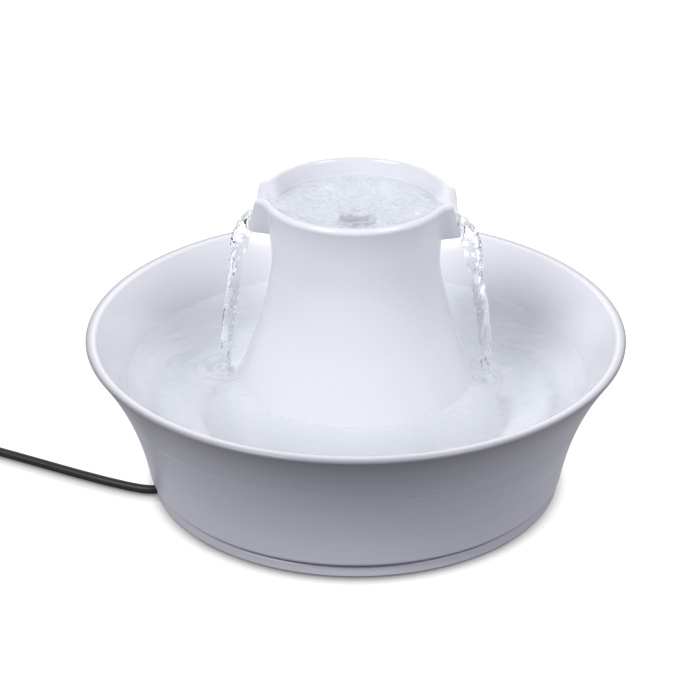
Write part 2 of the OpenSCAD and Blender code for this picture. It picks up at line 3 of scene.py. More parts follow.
import bpy
import numpy as np
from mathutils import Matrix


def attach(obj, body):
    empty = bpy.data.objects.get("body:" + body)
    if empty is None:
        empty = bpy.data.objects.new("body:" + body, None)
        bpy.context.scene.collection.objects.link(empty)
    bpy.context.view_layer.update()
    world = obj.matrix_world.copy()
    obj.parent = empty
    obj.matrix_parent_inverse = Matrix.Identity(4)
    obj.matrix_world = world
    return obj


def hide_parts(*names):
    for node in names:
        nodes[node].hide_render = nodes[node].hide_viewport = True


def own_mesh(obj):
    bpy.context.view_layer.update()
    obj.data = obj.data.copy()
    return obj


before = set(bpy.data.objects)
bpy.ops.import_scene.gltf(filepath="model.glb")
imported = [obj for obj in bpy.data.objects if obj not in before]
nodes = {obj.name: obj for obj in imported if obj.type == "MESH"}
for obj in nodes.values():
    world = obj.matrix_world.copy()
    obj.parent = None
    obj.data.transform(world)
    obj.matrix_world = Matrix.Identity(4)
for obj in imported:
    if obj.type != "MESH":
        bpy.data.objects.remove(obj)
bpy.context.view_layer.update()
mm = 0.001
print("stage 1: the frame is in, with", len(nodes), "nodes")


# shapes as whole arrays

def smoothStep(t):
    # 3t^2 - 2t^3, level at both ends, with t held between 0 and 1
    t = np.clip(t, 0, 1)
    return t * t * (3 - 2 * t)


def softMax(a, b, blend):
    # the larger of two values, rounded over where they differ by less than blend
    return np.maximum(a, b) + np.maximum(blend - np.abs(a - b), 0) ** 2 / (4 * blend)


def softMin(a, b, blend):
    # the smaller of two values, rounded in the same way
    return -softMax(-a, -b, blend)


def ripple(x, y, seed, waves, size):
    # a sum of sine waves of random heading, phase and length near size, scaled to about -1 to 1
    rng = np.random.default_rng(seed)
    total = np.zeros(np.broadcast(x, y).shape)
    for _ in range(waves):
        heading = rng.uniform(0, 2 * math.pi)
        length = size * rng.uniform(0.6, 1.6)
        phase = rng.uniform(0, 2 * math.pi)
        total += np.sin((x * math.cos(heading) + y * math.sin(heading)) * 2 * math.pi / length + phase)
    return total / math.sqrt(waves)


def smoothPath(points, perSpan):
    # a Catmull-Rom curve: between two points, the cubic that passes both and runs there
    # along the line through their neighbours
    p = np.asarray(points, float)
    p = np.concatenate([[2 * p[0] - p[1]], p, [2 * p[-1] - p[-2]]])
    t = np.linspace(0, 1, perSpan, endpoint=False)[None, :, None]
    a, b, c, d = p[:-3, None], p[1:-2, None], p[2:-1, None], p[3:, None]
    curve = 0.5 * (2 * b + (c - a) * t + (2 * a - 5 * b + 4 * c - d) * t ** 2
                   + (3 * b - a - 3 * c + d) * t ** 3)
    return np.concatenate([curve.reshape(-1, 3), p[-2:-1]])


def directions(path):
    # unit steps along a path, each from the point before to the point after
    step = np.gradient(path, axis=0)
    return step / np.linalg.norm(step, axis=1, keepdims=True)


def tubeGrid(path, radius, sides, up=(0, 0, 1)):
    # circles of the given radius square to a path: centre + radius (cos a * across + sin a * over)
    along = directions(path)
    across = np.cross(np.asarray(up, float), along)
    across /= np.linalg.norm(across, axis=1, keepdims=True)
    over = np.cross(along, across)
    a = np.linspace(0, 2 * math.pi, sides, endpoint=False)
    return path[:, None] + radius * (np.cos(a)[None, :, None] * across[:, None]
                                     + np.sin(a)[None, :, None] * over[:, None])


def spun(rows, angle):
    # points of (radius, height) set at an angle about the vertical axis: x = r cos a, y = r sin a
    r, z = rows[..., 0], rows[..., 1]
    return np.stack([r * np.cos(angle), r * np.sin(angle), z + 0 * angle], axis=-1)


def turnGrid(profile, columns):
    # a profile of (radius, height) points turned about the vertical axis
    return spun(np.asarray(profile, float)[:, None], np.asarray(columns)[None, :])


def rotated(x, y, turn):
    # x cos turn - y sin turn, and x sin turn + y cos turn
    return x * np.cos(turn) - y * np.sin(turn), x * np.sin(turn) + y * np.cos(turn)


def archAngles(half, radius):
    # angles about the axis to the points of an arch, asin(half sin t / radius) for even steps of t over
    # its half circle
    return np.arcsin(np.sin(np.linspace(-math.pi / 2, math.pi / 2, 25)) * half / radius)


def arcPoints(centre, radius, start, end, count):
    # points on an arc, centre + radius (cos a, sin a), with a in degrees
    a = np.radians(np.linspace(start, end, count))
    return np.stack([centre[0] + radius * np.cos(a), centre[1] + radius * np.sin(a)], axis=-1)


def newPiece(name, verts, quads, tris, material):
    # a smooth-shaded mesh whose faces are turned outwards if the volume they close is negative
    corners = [quads[:, [0, 1, 2]], quads[:, [0, 2, 3]], tris]
    flat = np.concatenate([c.reshape(-1, 3) for c in corners])
    a, b, c = verts[flat[:, 0]], verts[flat[:, 1]], verts[flat[:, 2]]
    if np.einsum("ij,ij->i", a, np.cross(b, c)).sum() < 0:
        quads, tris = quads[:, ::-1], tris[:, ::-1]
    mesh = bpy.data.meshes.new(name)
    mesh.from_pydata(verts.tolist(), [], quads.tolist() + tris.tolist())
    mesh.polygons.foreach_set("use_smooth", np.ones(len(mesh.polygons), bool))
    mesh.materials.append(material)
    piece = bpy.data.objects.new(name, mesh)
    bpy.context.scene.collection.objects.link(piece)
    return piece


def addAttribute(piece, name, values):
    # one value for each point of a piece's mesh
    piece.data.attributes.new(name, "FLOAT", "POINT").data.foreach_set("value", np.asarray(values, float))


def gridPiece(name, grid, material, ringed=False):
    # the skin of a grid of points: quads between neighbours, round and round across the rows.
    # ringed joins the last row to the first, otherwise a fan to its middle closes each end row
    rows, cols = grid.shape[:2]
    index = np.arange(rows * cols).reshape(rows, cols)
    if ringed:
        index = np.concatenate([index, index[:1]])
    right = np.roll(index, -1, axis=1)
    quads = np.stack([index[:-1], right[:-1], right[1:], index[1:]], axis=-1).reshape(-1, 4)
    verts, fans = grid.reshape(-1, 3), [np.zeros((0, 3), int)]
    for row, turn in () if ringed else ((0, -1), (-1, 1)):
        middle = np.full(cols, len(verts))
        verts = np.concatenate([verts, grid[row].mean(axis=0, keepdims=True)])
        fans.append(np.stack([index[row], right[row], middle], axis=-1)[:, ::turn])
    return newPiece(name, verts, quads, np.concatenate(fans), material)


# finishes

def startFinish(name, colour, roughness, **fixed):
    # a Principled shader with its plain numbers set on its own sockets
    material = bpy.data.materials.new(name)
    material.use_nodes = True
    tree = material.node_tree
    shader = tree.nodes["Principled BSDF"]
    shader.inputs["Base Color"].default_value = (*colour, 1)
    shader.inputs["Roughness"].default_value = roughness
    for socket, value in fixed.items():
        shader.inputs[socket.replace("_", " ")].default_value = value
    return material, tree, shader


def addNode(tree, kind, inputs=(), **settings):
    # a node with its settings, and for each input a plain value or another node's output
    node = tree.nodes.new("ShaderNode" + kind)
    for name, value in settings.items():
        setattr(node, name, value)
    for name, value in dict(inputs).items():
        if hasattr(value, "is_output"):
            tree.links.new(value, node.inputs[name])
        else:
            node.inputs[name].default_value = value
    return node


def asColour(value):
    # a grey or a colour with its alpha, and a node's output as it is
    if hasattr(value, "is_output"):
        return value
    return (*value, 1) if hasattr(value, "__len__") else (value, value, value, 1)


def addNoise(tree, scale, detail=3.0, stretch=(1, 1, 1), kind="TexNoise"):
    # a noise or cell pattern on the object's own coordinates, in features per metre
    place = addNode(tree, "TexCoord").outputs["Object"]
    shift = addNode(tree, "Mapping", {"Vector": place, "Scale": stretch}).outputs["Vector"]
    return addNode(tree, kind, {"Vector": shift, "Scale": scale, "Detail": detail}).outputs[0]


def addRamp(tree, source, stops):
    # colours or greys at places along a 0 to 1 signal
    ramp = addNode(tree, "ValToRGB", {"Fac": source})
    while len(ramp.color_ramp.elements) < len(stops):
        ramp.color_ramp.elements.new(0.5)
    for element, (at, colour) in zip(ramp.color_ramp.elements, stops):
        element.position = at
        element.color = asColour(colour)
    return ramp.outputs["Color"]


def addTones(tree, noise, low, high):
    # low where the noise is under 0.3, high where it is over 0.7, and a mix of both between
    return addRamp(tree, noise, [(0.3, low), (0.7, high)])


def addBump(tree, shader, source, height, before=None):
    # source pushes the surface by up to height, in metres, over any bump before it
    inputs = {"Distance": height, "Strength": 1.0, "Height": source}
    if before is not None:
        inputs["Normal"] = before
    bump = addNode(tree, "Bump", inputs).outputs["Normal"]
    tree.links.new(bump, shader.inputs["Normal"])
    return bump


def blend(tree, share, first, second):
    # first where share is 0, second where it is 1; each is a grey or another node's output
    inputs = {"Factor": share, 6: asColour(first), 7: asColour(second)}
    return addNode(tree, "Mix", inputs, data_type="RGBA").outputs[2]


def product(tree, first, second):
    # two colours or greys multiplied
    inputs = {"Factor": 1.0, 6: first, 7: second}
    return addNode(tree, "Mix", inputs, data_type="RGBA", blend_type="MULTIPLY").outputs[2]


def addMath(tree, operation, first, second):
    # one operation on two numbers
    return addNode(tree, "Math", {0: first, 1: second}, operation=operation).outputs[0]


def readAttribute(tree, name):
    # a value that the mesh holds at each of its points
    return addNode(tree, "Attribute", attribute_name=name).outputs["Fac"]


def variedFinish(name, light, dark, roughness, scale, grain, grainHeight, stretch=(1, 1, 1), **fixed):
    # a moulded or machined finish: broad noise between two colours, roughness that follows it,
    # and a fine grain as bump
    material, tree, shader = startFinish(name, light, roughness[0], **fixed)
    broad = addNoise(tree, scale, 4.0, stretch)
    tree.links.new(addTones(tree, broad, dark, light), shader.inputs["Base Color"])
    tree.links.new(addTones(tree, broad, roughness[1], roughness[0]), shader.inputs["Roughness"])
    addBump(tree, shader, addNoise(tree, grain, 2.0, stretch), grainHeight)
    return material


# porcelain under a clear glaze: a cool white, faint clouding, slow waves in the glaze. The outside of
# the bowl has a duller glaze with faint turning marks, and its colour is a darker, cooler copy of the
# inside's: painted shade

glazeLook = dict(light=(0.84, 0.84, 0.868), dark=(0.81, 0.81, 0.843), roughness=(0.12, 0.17),
                 shadedOutLight=(0.725, 0.717, 0.790), shadedOutDark=(0.685, 0.677, 0.753), outRoughness=(0.26, 0.36),
                 cloudScale=14, waveScale=38, waveHeight=0.00006,
                 turning=(3, 3, 190), turningScale=1.4, turningHeight=0.00003)
jacketLook = dict(light=(0.022, 0.022, 0.023), dark=(0.014, 0.014, 0.015), roughness=(0.42, 0.5),
                  scale=60, grain=900, grainHeight=0.00004)


def glazeFinish():
    # inside glaze + outside share (outside glaze - inside glaze), times the tone, which holds painted light
    # and shade and a darker crest; the mesh holds share and tone as attributes
    s = glazeLook
    material, tree, shader = startFinish("glaze", s["light"], s["roughness"][0], IOR=1.5)
    share = readAttribute(tree, "outside")
    clouds = addNoise(tree, s["cloudScale"], 2.0)
    marks = addNoise(tree, s["turningScale"], 4.0, s["turning"])
    colour = blend(tree, share, addTones(tree, clouds, s["dark"], s["light"]),
                   addTones(tree, marks, s["shadedOutDark"], s["shadedOutLight"]))
    rough = blend(tree, share, addTones(tree, clouds, s["roughness"][1], s["roughness"][0]),
                  addTones(tree, marks, s["outRoughness"][1], s["outRoughness"][0]))
    tree.links.new(product(tree, colour, readAttribute(tree, "tone")), shader.inputs["Base Color"])
    tree.links.new(rough, shader.inputs["Roughness"])
    waves = addBump(tree, shader, addNoise(tree, s["waveScale"], 1.0), s["waveHeight"])
    addBump(tree, shader, blend(tree, share, clouds, marks), s["turningHeight"], before=waves)
    return material


glaze = glazeFinish()
jacket = variedFinish("leadJacket", **jacketLook)
print("stage 2: the ceramic and lead finishes are made")


# camera

shot = dict(place=(-0.0032, -1.2, 0.6925), pitch=27.14, focal=123.8, sensor=36)
camera = bpy.data.objects.new("camera", bpy.data.cameras.new("camera"))
camera.location = shot["place"]
camera.rotation_euler = (math.radians(90 - shot["pitch"]), 0, 0)
camera.data.lens = shot["focal"]
camera.data.sensor_width = shot["sensor"]
camera.data.clip_start = 0.05
bpy.context.scene.collection.objects.link(camera)
bpy.context.scene.camera = camera


# the free lead: run, stored coil and tail in one length

lead = dict(diameter=5 * mm, sides=14, exit=(-73.2, -17.4, 4.6), runSteps=5, tailSteps=6, length=1.6,
            coilAt=(-259, 0), coilOuter=38.6, coilInner=19.8, turns=3.66, lowLayer=3.3, layerStep=5,
            coilStart=62.0, perTurn=56, inmostRound=0.0004, climbStart=0.93, climbSpan=0.14)
leadRun = [lead["exit"], (-79, -18.8, 4.3), (-86, -20.5, 3.5), (-94, -22.4, 2.8), (-102, -24.3, 2.5),
           (-110, -26.1, 2.5), (-118, -26.2, 2.5), (-127, -23.4, 2.5), (-136, -19.6, 2.5), (-145, -15.4, 2.5),
           (-157, -9.4, 2.5), (-170, -2.6, 2.5), (-182, 3.8, 2.5), (-194, 10.2, 2.5), (-206, 16.5, 2.5),
           (-218, 22.9, 2.5), (-229, 28.8, 2.6)]
leadTail = [(-298, -8, 7.6), (-297.4, -17, 5.2), (-295.2, -26, 3.4), (-291.8, -34, 3.2),
            (-288.8, -42, 4.6), (-287.2, -50, 6.4), (-287, -56, 7)]


def coilPath():
    # two flat spirals: the radius goes from outer to inner and out again as sqrt((t - 1)^2 + a little),
    # in equal steps with the angle, and the height climbs smoothly by a layer at the inmost turn
    s = lead
    t = np.linspace(0, 2, 2 * int(s["turns"] * s["perTurn"]))
    angle = np.radians(s["coilStart"] + 360 * s["turns"] * t)
    radius = s["coilInner"] + (s["coilOuter"] - s["coilInner"]) * np.sqrt((t - 1) ** 2 + s["inmostRound"])
    height = s["lowLayer"] + s["layerStep"] * smoothStep((t - s["climbStart"]) / s["climbSpan"])
    return spun(np.stack([radius, height], axis=-1), angle) + np.array([*s["coilAt"], 0])


coil = coilPath()
leadPath = np.concatenate([smoothPath(leadRun + [tuple(coil[0])], lead["runSteps"])[:-1], coil,
                           smoothPath([tuple(coil[-1])] + leadTail, lead["tailSteps"])[1:]]) * mm
leadPiece = gridPiece("lead", tubeGrid(leadPath, lead["diameter"] / 2, lead["sides"]), jacket)
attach(leadPiece, "base")
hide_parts("cord_run", "cord_coil", "cord_tail")
print("stage 3: the camera stands and the lead is laid")


# the bowl: one profile turned about the axis, with a notch in the foot for the lead

bowlShape = dict(rim=150, height=91.5, low=118, lean=15, rimAngle=34, wall=5.5, wallStart=11,
                 lipOut=1.4, lipIn=2.6, lipDrop=2.2, cornerRadius=3, fillet=13, filletAt=0.175,
                 floorTop=16, floorUnder=10, floorRings=(95, 80, 50, 25, 3), pole=3, edge=0.3, columns=300,
                 footBottom=0.8, footInside=104, footChamfer=2, footSplay=0.8,
                 footLine=[(2.6, 0.8), (2.2, 1.6), (2.9, 5.4), (3.6, 6.3), (5.2, 6.8), (5.2, 7.5),
                           (2.2, 7.9)],
                 notchAngle=math.atan2(-10.5, -44), notchHalf=4.5, notchTop=6.6, notchAt=116,
                 notchGap=3, notchEdge=0.0405, notchSlack=0.01,
                 glazeSpan=5, rimShade=0.74, rimShadeSpan=18, footShade=0.24, footShadeTop=8)


def roundedLine(points, radius):
    # each inner corner becomes a quadratic curve that starts and ends radius away from it,
    # with one more point just outside to keep the flats flat
    p = np.asarray(points, float)
    line = [p[0]]
    t = np.linspace(0, 1, 6)[:, None]
    for before, corner, after in zip(p[:-2], p[1:-1], p[2:]):
        a, b = (before - corner), (after - corner)
        reach = min(radius, 0.4 * np.linalg.norm(a), 0.4 * np.linalg.norm(b))
        start, end = corner + a / np.linalg.norm(a) * reach, corner + b / np.linalg.norm(b) * reach
        curve = (1 - t) ** 2 * start + 2 * t * (1 - t) * corner + t ** 2 * end
        line += [start + 0.35 * (start - corner), *curve, end + 0.35 * (end - corner)]
    return np.array(line + [p[-1]])


def bowlWall(t):
    # outside of the wall: radius low + lean t + flare t^power, t from the foot to the rim. The inside
    # lies wall away from it, square to its slope
    s = bowlShape
    tilt = math.radians(s["rimAngle"])
    rise = s["height"] - s["lipOut"] * (1 + math.sin(tilt)) - s["wallStart"]
    flare = s["rim"] - s["lipOut"] * (1 - math.cos(tilt)) - s["low"] - s["lean"]
    power = (math.tan(tilt) * rise - s["lean"]) / flare
    slope = (s["lean"] + flare * power * t ** (power - 1)) / rise
    outside = np.stack([s["low"] + s["lean"] * t + flare * t ** power, s["wallStart"] + rise * t], axis=-1)
    inward = np.stack([-np.ones_like(t), slope], axis=-1) / np.sqrt(1 + slope ** 2)[:, None]
    return outside, outside + s["wall"] * inward, slope


def bowlProfile():
    # axis, underside, foot, groove, outside, rim, inside, floor, axis: straight lines with their edges
    # eased, the wall's curve and its inner parallel, and arcs centre + radius (cos a, sin a) between
    s = bowlShape
    tilt, low, high = math.radians(s["rimAngle"]), s["low"], s["height"]
    lipHeight = high - s["lipIn"] * (1 - math.sin(tilt)) - s["wall"] * math.sin(tilt)
    lipT = (lipHeight - s["wallStart"]) / (high - s["wallStart"] - s["lipDrop"])
    outside = bowlWall(np.linspace(0.01, 1, 60))[0]
    _, inside, slope = bowlWall(np.linspace(lipT, s["filletAt"], 60))
    lean = math.atan(slope[-1])
    lipRadius = inside[0][0] + s["lipIn"] * math.cos(tilt)
    filletCentre = (inside[-1][0] - s["fillet"] * math.cos(lean), s["floorTop"] + s["fillet"])
    foot = roundedLine([(s["pole"], s["floorUnder"]), (s["footInside"] - s["footChamfer"], s["floorUnder"]),
                        (s["footInside"], s["floorUnder"] - s["footChamfer"]),
                        (s["footInside"] + s["footSplay"], s["footBottom"]),
                        *[(low - inset, height) for inset, height in s["footLine"]]], s["edge"])
    return np.concatenate([
        foot[:-1],
        arcPoints((low - s["cornerRadius"], s["wallStart"]), s["cornerRadius"], -66, -8, 10),
        outside,
        arcPoints((s["rim"] - s["lipOut"], high - s["lipOut"]), s["lipOut"], 10 - s["rimAngle"], 88, 10),
        arcPoints((lipRadius, high - s["lipIn"]), s["lipIn"], 90, 178 - s["rimAngle"], 12),
        inside,
        arcPoints(filletCentre, s["fillet"], -math.degrees(lean) - 4, -90, 16),
        np.array([(radius, s["floorTop"]) for radius in s["floorRings"]])])


def bowlGrid():
    # the profile turned about the axis. Columns are closer at the notch, which lifts what is lower than
    # its arch, notchTop - notchHalf + sqrt(notchHalf^2 - across^2), for the foot ring only
    s = bowlShape
    turn = np.linspace(0, 2 * math.pi, s["columns"], endpoint=False)
    gap = np.radians(s["notchGap"])
    beside = np.abs((turn - s["notchAngle"] + math.pi) % (2 * math.pi) - math.pi) > gap
    arch = archAngles(s["notchHalf"], s["notchAt"])
    near = s["notchAngle"] + np.concatenate([arch, [-gap, -s["notchEdge"], s["notchEdge"], gap]])
    columns = np.sort(np.concatenate([turn[beside], near]) % (2 * math.pi))
    grid = turnGrid(bowlProfile(), columns)
    across = np.sin(columns - s["notchAngle"]) * s["notchAt"]
    facing = np.cos(columns - s["notchAngle"]) > 0
    inNotch = facing & (np.abs(across) <= s["notchHalf"] + s["notchSlack"])
    top = s["notchTop"] - s["notchHalf"] + np.sqrt(np.maximum(s["notchHalf"] ** 2 - across ** 2, 0))
    ring = (np.hypot(grid[..., 0], grid[..., 1]) > s["footInside"] - 1) & inNotch[None, :]
    grid[..., 2] = np.where(ring, np.maximum(grid[..., 2], top[None, :]), grid[..., 2])
    return grid * mm


def bowlGlaze(points):
    # shares along the profile, from the rim's crest outwards: the outer glaze starts there, and painted
    # shade makes it darkest just under the rim, by 1 - rimShade e^(-distance / rimShadeSpan). The foot
    # ring, below footShadeTop, is darker by footShade: painted shade too
    s = bowlShape
    marks = np.append(0, np.cumsum(np.linalg.norm(np.diff(points[:, 0], axis=0), axis=1))) / mm
    beyond = marks[int(np.argmax(points[:, 0, 2]))] - marks
    outside = smoothStep(beyond / s["glazeSpan"])
    tone = 1 - s["rimShade"] * outside * np.exp(-np.clip(beyond, 0, None) / s["rimShadeSpan"])
    return outside, tone - s["footShade"] * smoothStep(s["footShadeTop"] - points[:, 0, 2] / mm)


bowlPoints = bowlGrid()
bowlPiece = gridPiece("bowlCeramic", bowlPoints, glaze)
shadedOutsideRows, paintedShadeRows = bowlGlaze(bowlPoints)
columns = bowlPoints.shape[1]
# outside: the share of the outside glaze, whose darker, cooler colour is painted shade
addAttribute(bowlPiece, "outside", np.append(np.repeat(shadedOutsideRows, columns), [1, 0]))
# tone: painted shade under the rim and on the foot ring
addAttribute(bowlPiece, "tone", np.append(np.repeat(paintedShadeRows, columns), [1, 1]))
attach(bowlPiece, "base")
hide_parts("bowl")
print("stage 4: the bowl is turned")


# the tower: foot, skirt, waist, rim with two pouring spouts, dish and hollow

towerShape = dict(top=174.2, rim=52.2, waist=46.3, waistHeight=134.5, skirtFlare=40.5, skirtPower=1.45,
                  skirtTop=138, neckStart=140.5, wall=5, foot=16, footEdge=0.8, turn=-4.5, lip=2.8, hole=9,
                  archRadius=12, archAt=84, archGap=0.002, archHeadings=(0, math.pi / 2, math.pi),
                  dishRadius=47.2, dishDepth=27.2, dishPower=2.4, dishDrop=1, dishEase=0.05, dishSkin=5,
                  spoutUnder=149.4, spoutFloor=157.5, spoutReach=58.3, spoutRimReach=58.4, spoutShift=0.5,
                  spoutPower=7, rimPower=4, beakRound=3.8, beakHalf=16.5, beakSpread=0.8,
                  keelHalf=6.0, keelStart=40, keelRound=1.6, merge=7, rimMerge=11,
                  notchLow=4.0, notchTop=12.0, notchRise=1.5, notchEnd=1.4, notchAt=53,
                  crestOver=0.2, crestMerge=7.0, landingMerge=2.0,
                  troughReach=60.3, troughHalf=14.5, troughPower=4, troughMerge=9, troughLip=0.9,
                  evenColumns=140, beakColumns=(3.5, 19.5, 0.24), channelColumns=(-3, 3.1, 0.75),
                  leastStep=0.0012, neckLight=0.14, neckLightFrom=120, neckLightSpan=40, neckLightEdge=4,
                  underwaterShade=0.2, underwaterShadeFrom=63, underwaterShadeSpan=28, crestTone=0.15, crestSpan=2.2)


def towerRadius(z):
    # waist + skirtFlare ((waistHeight - z) / skirtHeight)^power below the waist,
    # waist + rimFlare ((z - waistHeight) / neck)^2 above it
    s = towerShape
    below = np.clip((s["waistHeight"] - z) / (s["waistHeight"] - s["foot"]), 0, None)
    above = np.clip((z - s["waistHeight"]) / (s["top"] - s["waistHeight"]), 0, None)
    return s["waist"] + s["skirtFlare"] * below ** s["skirtPower"] + (s["rim"] - s["waist"]) * above ** 2


def roundedBoxRadius(angle, long, half, power):
    # distance from the axis to the edge of |x/long|^power + |y/half|^power = 1
    return (np.abs(np.cos(angle) / long) ** power + np.abs(np.sin(angle) / half) ** power) ** (-1 / power)


def towerOutside(z, angle):
    # the round body, merged with a rounded bar through both spouts that narrows to a keel below. The
    # bar's ends are rounded off by beakRound at the rim, and by keelRound under the spouts
    s = towerShape
    t = np.clip((z - s["spoutUnder"]) / (s["top"] - s["spoutUnder"]), 0, 1)
    half = s["keelHalf"] + (s["beakHalf"] - s["keelHalf"]) * t ** s["beakSpread"]
    reach = s["spoutReach"] + (s["spoutRimReach"] - s["spoutReach"]) * t - s["spoutShift"] * np.cos(angle)
    over = np.clip((z - s["top"]) / s["beakRound"] + 1, 0, 1)
    reach = reach - s["beakRound"] * (1 - np.sqrt(1 - over ** 2))
    under = np.clip((z - s["spoutUnder"]) / s["keelRound"], 0, 1)
    reach = s["keelStart"] + (reach - s["keelStart"]) * np.sqrt(1 - (1 - under) ** 2)
    merge = s["merge"] + (s["rimMerge"] - s["merge"]) * t
    power = s["spoutPower"] + (s["rimPower"] - s["spoutPower"]) * t
    return softMax(towerRadius(z), roundedBoxRadius(angle, reach, half, power), merge)


def notchHeight(across):
    # the spouts' channel seen end on: a level floor, then a parabola that is past the rim at notchTop
    s = towerShape
    t = np.clip((np.abs(across) - s["notchLow"]) / (s["notchTop"] - s["notchLow"]), 0, s["notchEnd"])
    return s["spoutFloor"] + (s["top"] + s["notchRise"] - s["spoutFloor"]) * t ** 2


def ovalHeight(radius, long, depth):
    # the dish's curve: top - dishDrop - depth (1 - (radius / long)^power)^(1 / power)
    s = towerShape
    share = np.clip(radius / long, 0, 0.99999)
    return s["top"] - s["dishDrop"] - depth * (1 - share ** s["dishPower"]) ** (1 / s["dishPower"])


def dishPlan(angle):
    # the dish seen from above: a circle merged with the bar of the channels
    s = towerShape
    bar = roundedBoxRadius(angle, s["troughReach"], s["troughHalf"], s["troughPower"])
    return softMax(s["dishRadius"] + s["dishEase"], bar, s["troughMerge"])


def dishHeight(radius, angle):
    # the dish's curve, as long as its plan is at each angle
    return ovalHeight(radius, dishPlan(angle), towerShape["dishDepth"] - towerShape["dishDrop"])


def rimLine(angle):
    # the crest dips with the notch, and stays a little above the dish's edge where they meet. Inner is
    # where the lip ends and the dish begins, and landing is the dish's height there
    s = towerShape
    notch = notchHeight(np.abs(np.sin(angle)) * s["notchAt"])
    crest = softMin(notch + s["crestOver"], s["top"], s["crestMerge"])
    landing = dishHeight(towerOutside(crest - s["lip"], angle) - 2 * s["lip"], angle)
    crest = softMin(softMax(landing + s["troughLip"], crest, s["landingMerge"]), s["top"], s["landingMerge"])
    outer = towerOutside(crest - s["lip"], angle)
    inner = outer - 2 * s["lip"]
    return crest, outer, inner, dishHeight(inner, angle)


def towerColumns():
    # even steps, with fine ones across both spouts and at the edges of the three foot arches
    s = towerShape
    even = np.linspace(0, 2 * math.pi, s["evenColumns"], endpoint=False)
    oneSide = np.arange(*s["beakColumns"])
    fine = np.radians(np.concatenate([-oneSide, np.arange(*s["channelColumns"]), oneSide]))
    archHalf = math.asin(s["archRadius"] / s["archAt"]) + s["archGap"]
    arch = np.concatenate([archAngles(s["archRadius"], s["archAt"]), [-archHalf, archHalf]])
    arches = [arch + heading for heading in s["archHeadings"]]
    every = np.sort(np.concatenate([even, fine, fine + math.pi, *arches]) % (2 * math.pi))
    return every[np.append(np.diff(every) > s["leastStep"], True)]


def towerGrid():
    # rows of (radius, height) round the tower's wall, set at each angle: up the outside, over the lip,
    # through the dish and the hole, down the hollow and round the foot. The foot's lower edge goes up
    # over three arches, foot + sqrt(archRadius^2 - across^2)
    s = towerShape
    angle = towerColumns()[None, :]
    ones = np.ones_like(angle)
    aside = [np.where(np.cos(angle - a) > 0, np.abs(np.sin(angle - a)), 1) for a in s["archHeadings"]]
    across = np.minimum.reduce(aside) * s["archAt"]
    foot = s["foot"] + np.sqrt(np.maximum(s["archRadius"] ** 2 - across ** 2, 0))
    edge = s["footEdge"]
    crest, outer, inner, landing = rimLine(angle)
    # outside, from the foot up to the lip
    lipBase = crest - s["lip"]
    skirt = foot + edge + (s["skirtTop"] - foot - edge) * np.linspace(0, 1, 30)[:, None]
    neck = np.linspace(s["neckStart"], s["spoutUnder"] - 0.2, 5)[:, None] * ones
    sweep = np.linspace(0.02, math.pi / 2, 11)[:, None]
    underside = s["spoutUnder"] + s["keelRound"] * (1 - np.cos(sweep)) * ones
    beakStart = s["spoutUnder"] + s["keelRound"] + 0.1
    beak = beakStart + (lipBase - beakStart) * np.linspace(0, 1, 26)[1:, None]
    z = np.concatenate([skirt, neck, underside, beak])
    outside = np.stack([towerOutside(z, angle), z], axis=-1)
    # the lip: a half ellipse from the outside over the crest to the inside
    sweep = np.linspace(0, math.pi, 17)[1:-1, None]
    base = np.where(sweep < math.pi / 2, lipBase, landing)
    lipZ = base + (np.maximum(crest, landing) - base) * np.sin(sweep)
    lip = np.stack([(outer + inner) / 2 + (outer - inner) / 2 * np.cos(sweep), lipZ], axis=-1)
    # the dish, closer rows at its steep edge
    share = np.sin(np.linspace(math.pi / 2, 0, 38))[:, None]
    r = s["hole"] + 0.4 + (inner - s["hole"] - 0.4) * share
    dish = np.stack([r, dishHeight(r, angle)], axis=-1)
    # the hole for the riser, the ceiling of the hollow, and its wall down to the foot
    wallX = s["waist"] - s["wall"]
    floor = s["top"] - s["dishDepth"]
    holeRows = np.array([[s["hole"], floor - 0.5], [s["hole"], floor - s["dishSkin"] + 0.3]])
    ceilingR = np.linspace(s["hole"] + 0.4, wallX, 10)
    ceilingDepth = s["dishDepth"] - s["dishDrop"] + s["dishSkin"]
    ceilingZ = ovalHeight(ceilingR, s["dishRadius"] + s["dishSkin"], ceilingDepth)
    ceiling = np.stack([ceilingR, ceilingZ], axis=-1)
    hidden = np.concatenate([holeRows, ceiling])[:, None, :] * np.ones((1, angle.size, 1))
    zIn = ceiling[-1, 1] + (foot + edge - ceiling[-1, 1]) * np.linspace(0, 1, 16)[1:, None]
    rIn = np.where(zIn > s["waistHeight"], wallX, towerRadius(zIn) - s["wall"])
    hollow = np.stack([rIn, zIn], axis=-1)
    # a quarter circle eases both of the foot's edges
    quarter = np.linspace(0, math.pi / 2, 5)[1:, None]
    inset, drop = edge * (1 - np.cos(quarter)), foot + edge * (1 - np.sin(quarter))
    inEdge = np.stack([rIn[-1] + inset, drop], axis=-1)
    outEdge = np.stack([towerOutside(foot + edge, angle) - inset[::-1], drop[::-1]], axis=-1)
    rows = np.concatenate([outside, lip, dish, hidden, hollow, inEdge, outEdge])
    return spun(rows, angle + math.radians(s["turn"])) * mm


def towerTone(points):
    # 1 + neckLight on the outside of the neck, painted light, - crestTone e^(-depth / crestSpan), darker
    # along the rim's crest, - underwaterShade where it is under water, painted shade
    s = towerShape
    height = points[..., 2] / mm
    outer = np.hypot(points[..., 0], points[..., 1]) / mm - towerRadius(height) + s["wall"]
    # painted light on the outside of the neck, and painted shade under the water
    thin = smoothStep((height - s["neckLightFrom"]) / s["neckLightSpan"]) * smoothStep(outer / s["neckLightEdge"])
    underwaterShadeShare = smoothStep((s["underwaterShadeFrom"] - height) / s["underwaterShadeSpan"])
    depth = rimLine(towerColumns()[None, :])[0] - height
    crest = np.exp(-np.clip(depth, 0, None) / s["crestSpan"])
    return (1 + s["neckLight"] * thin - s["underwaterShade"] * underwaterShadeShare - s["crestTone"] * crest).ravel()


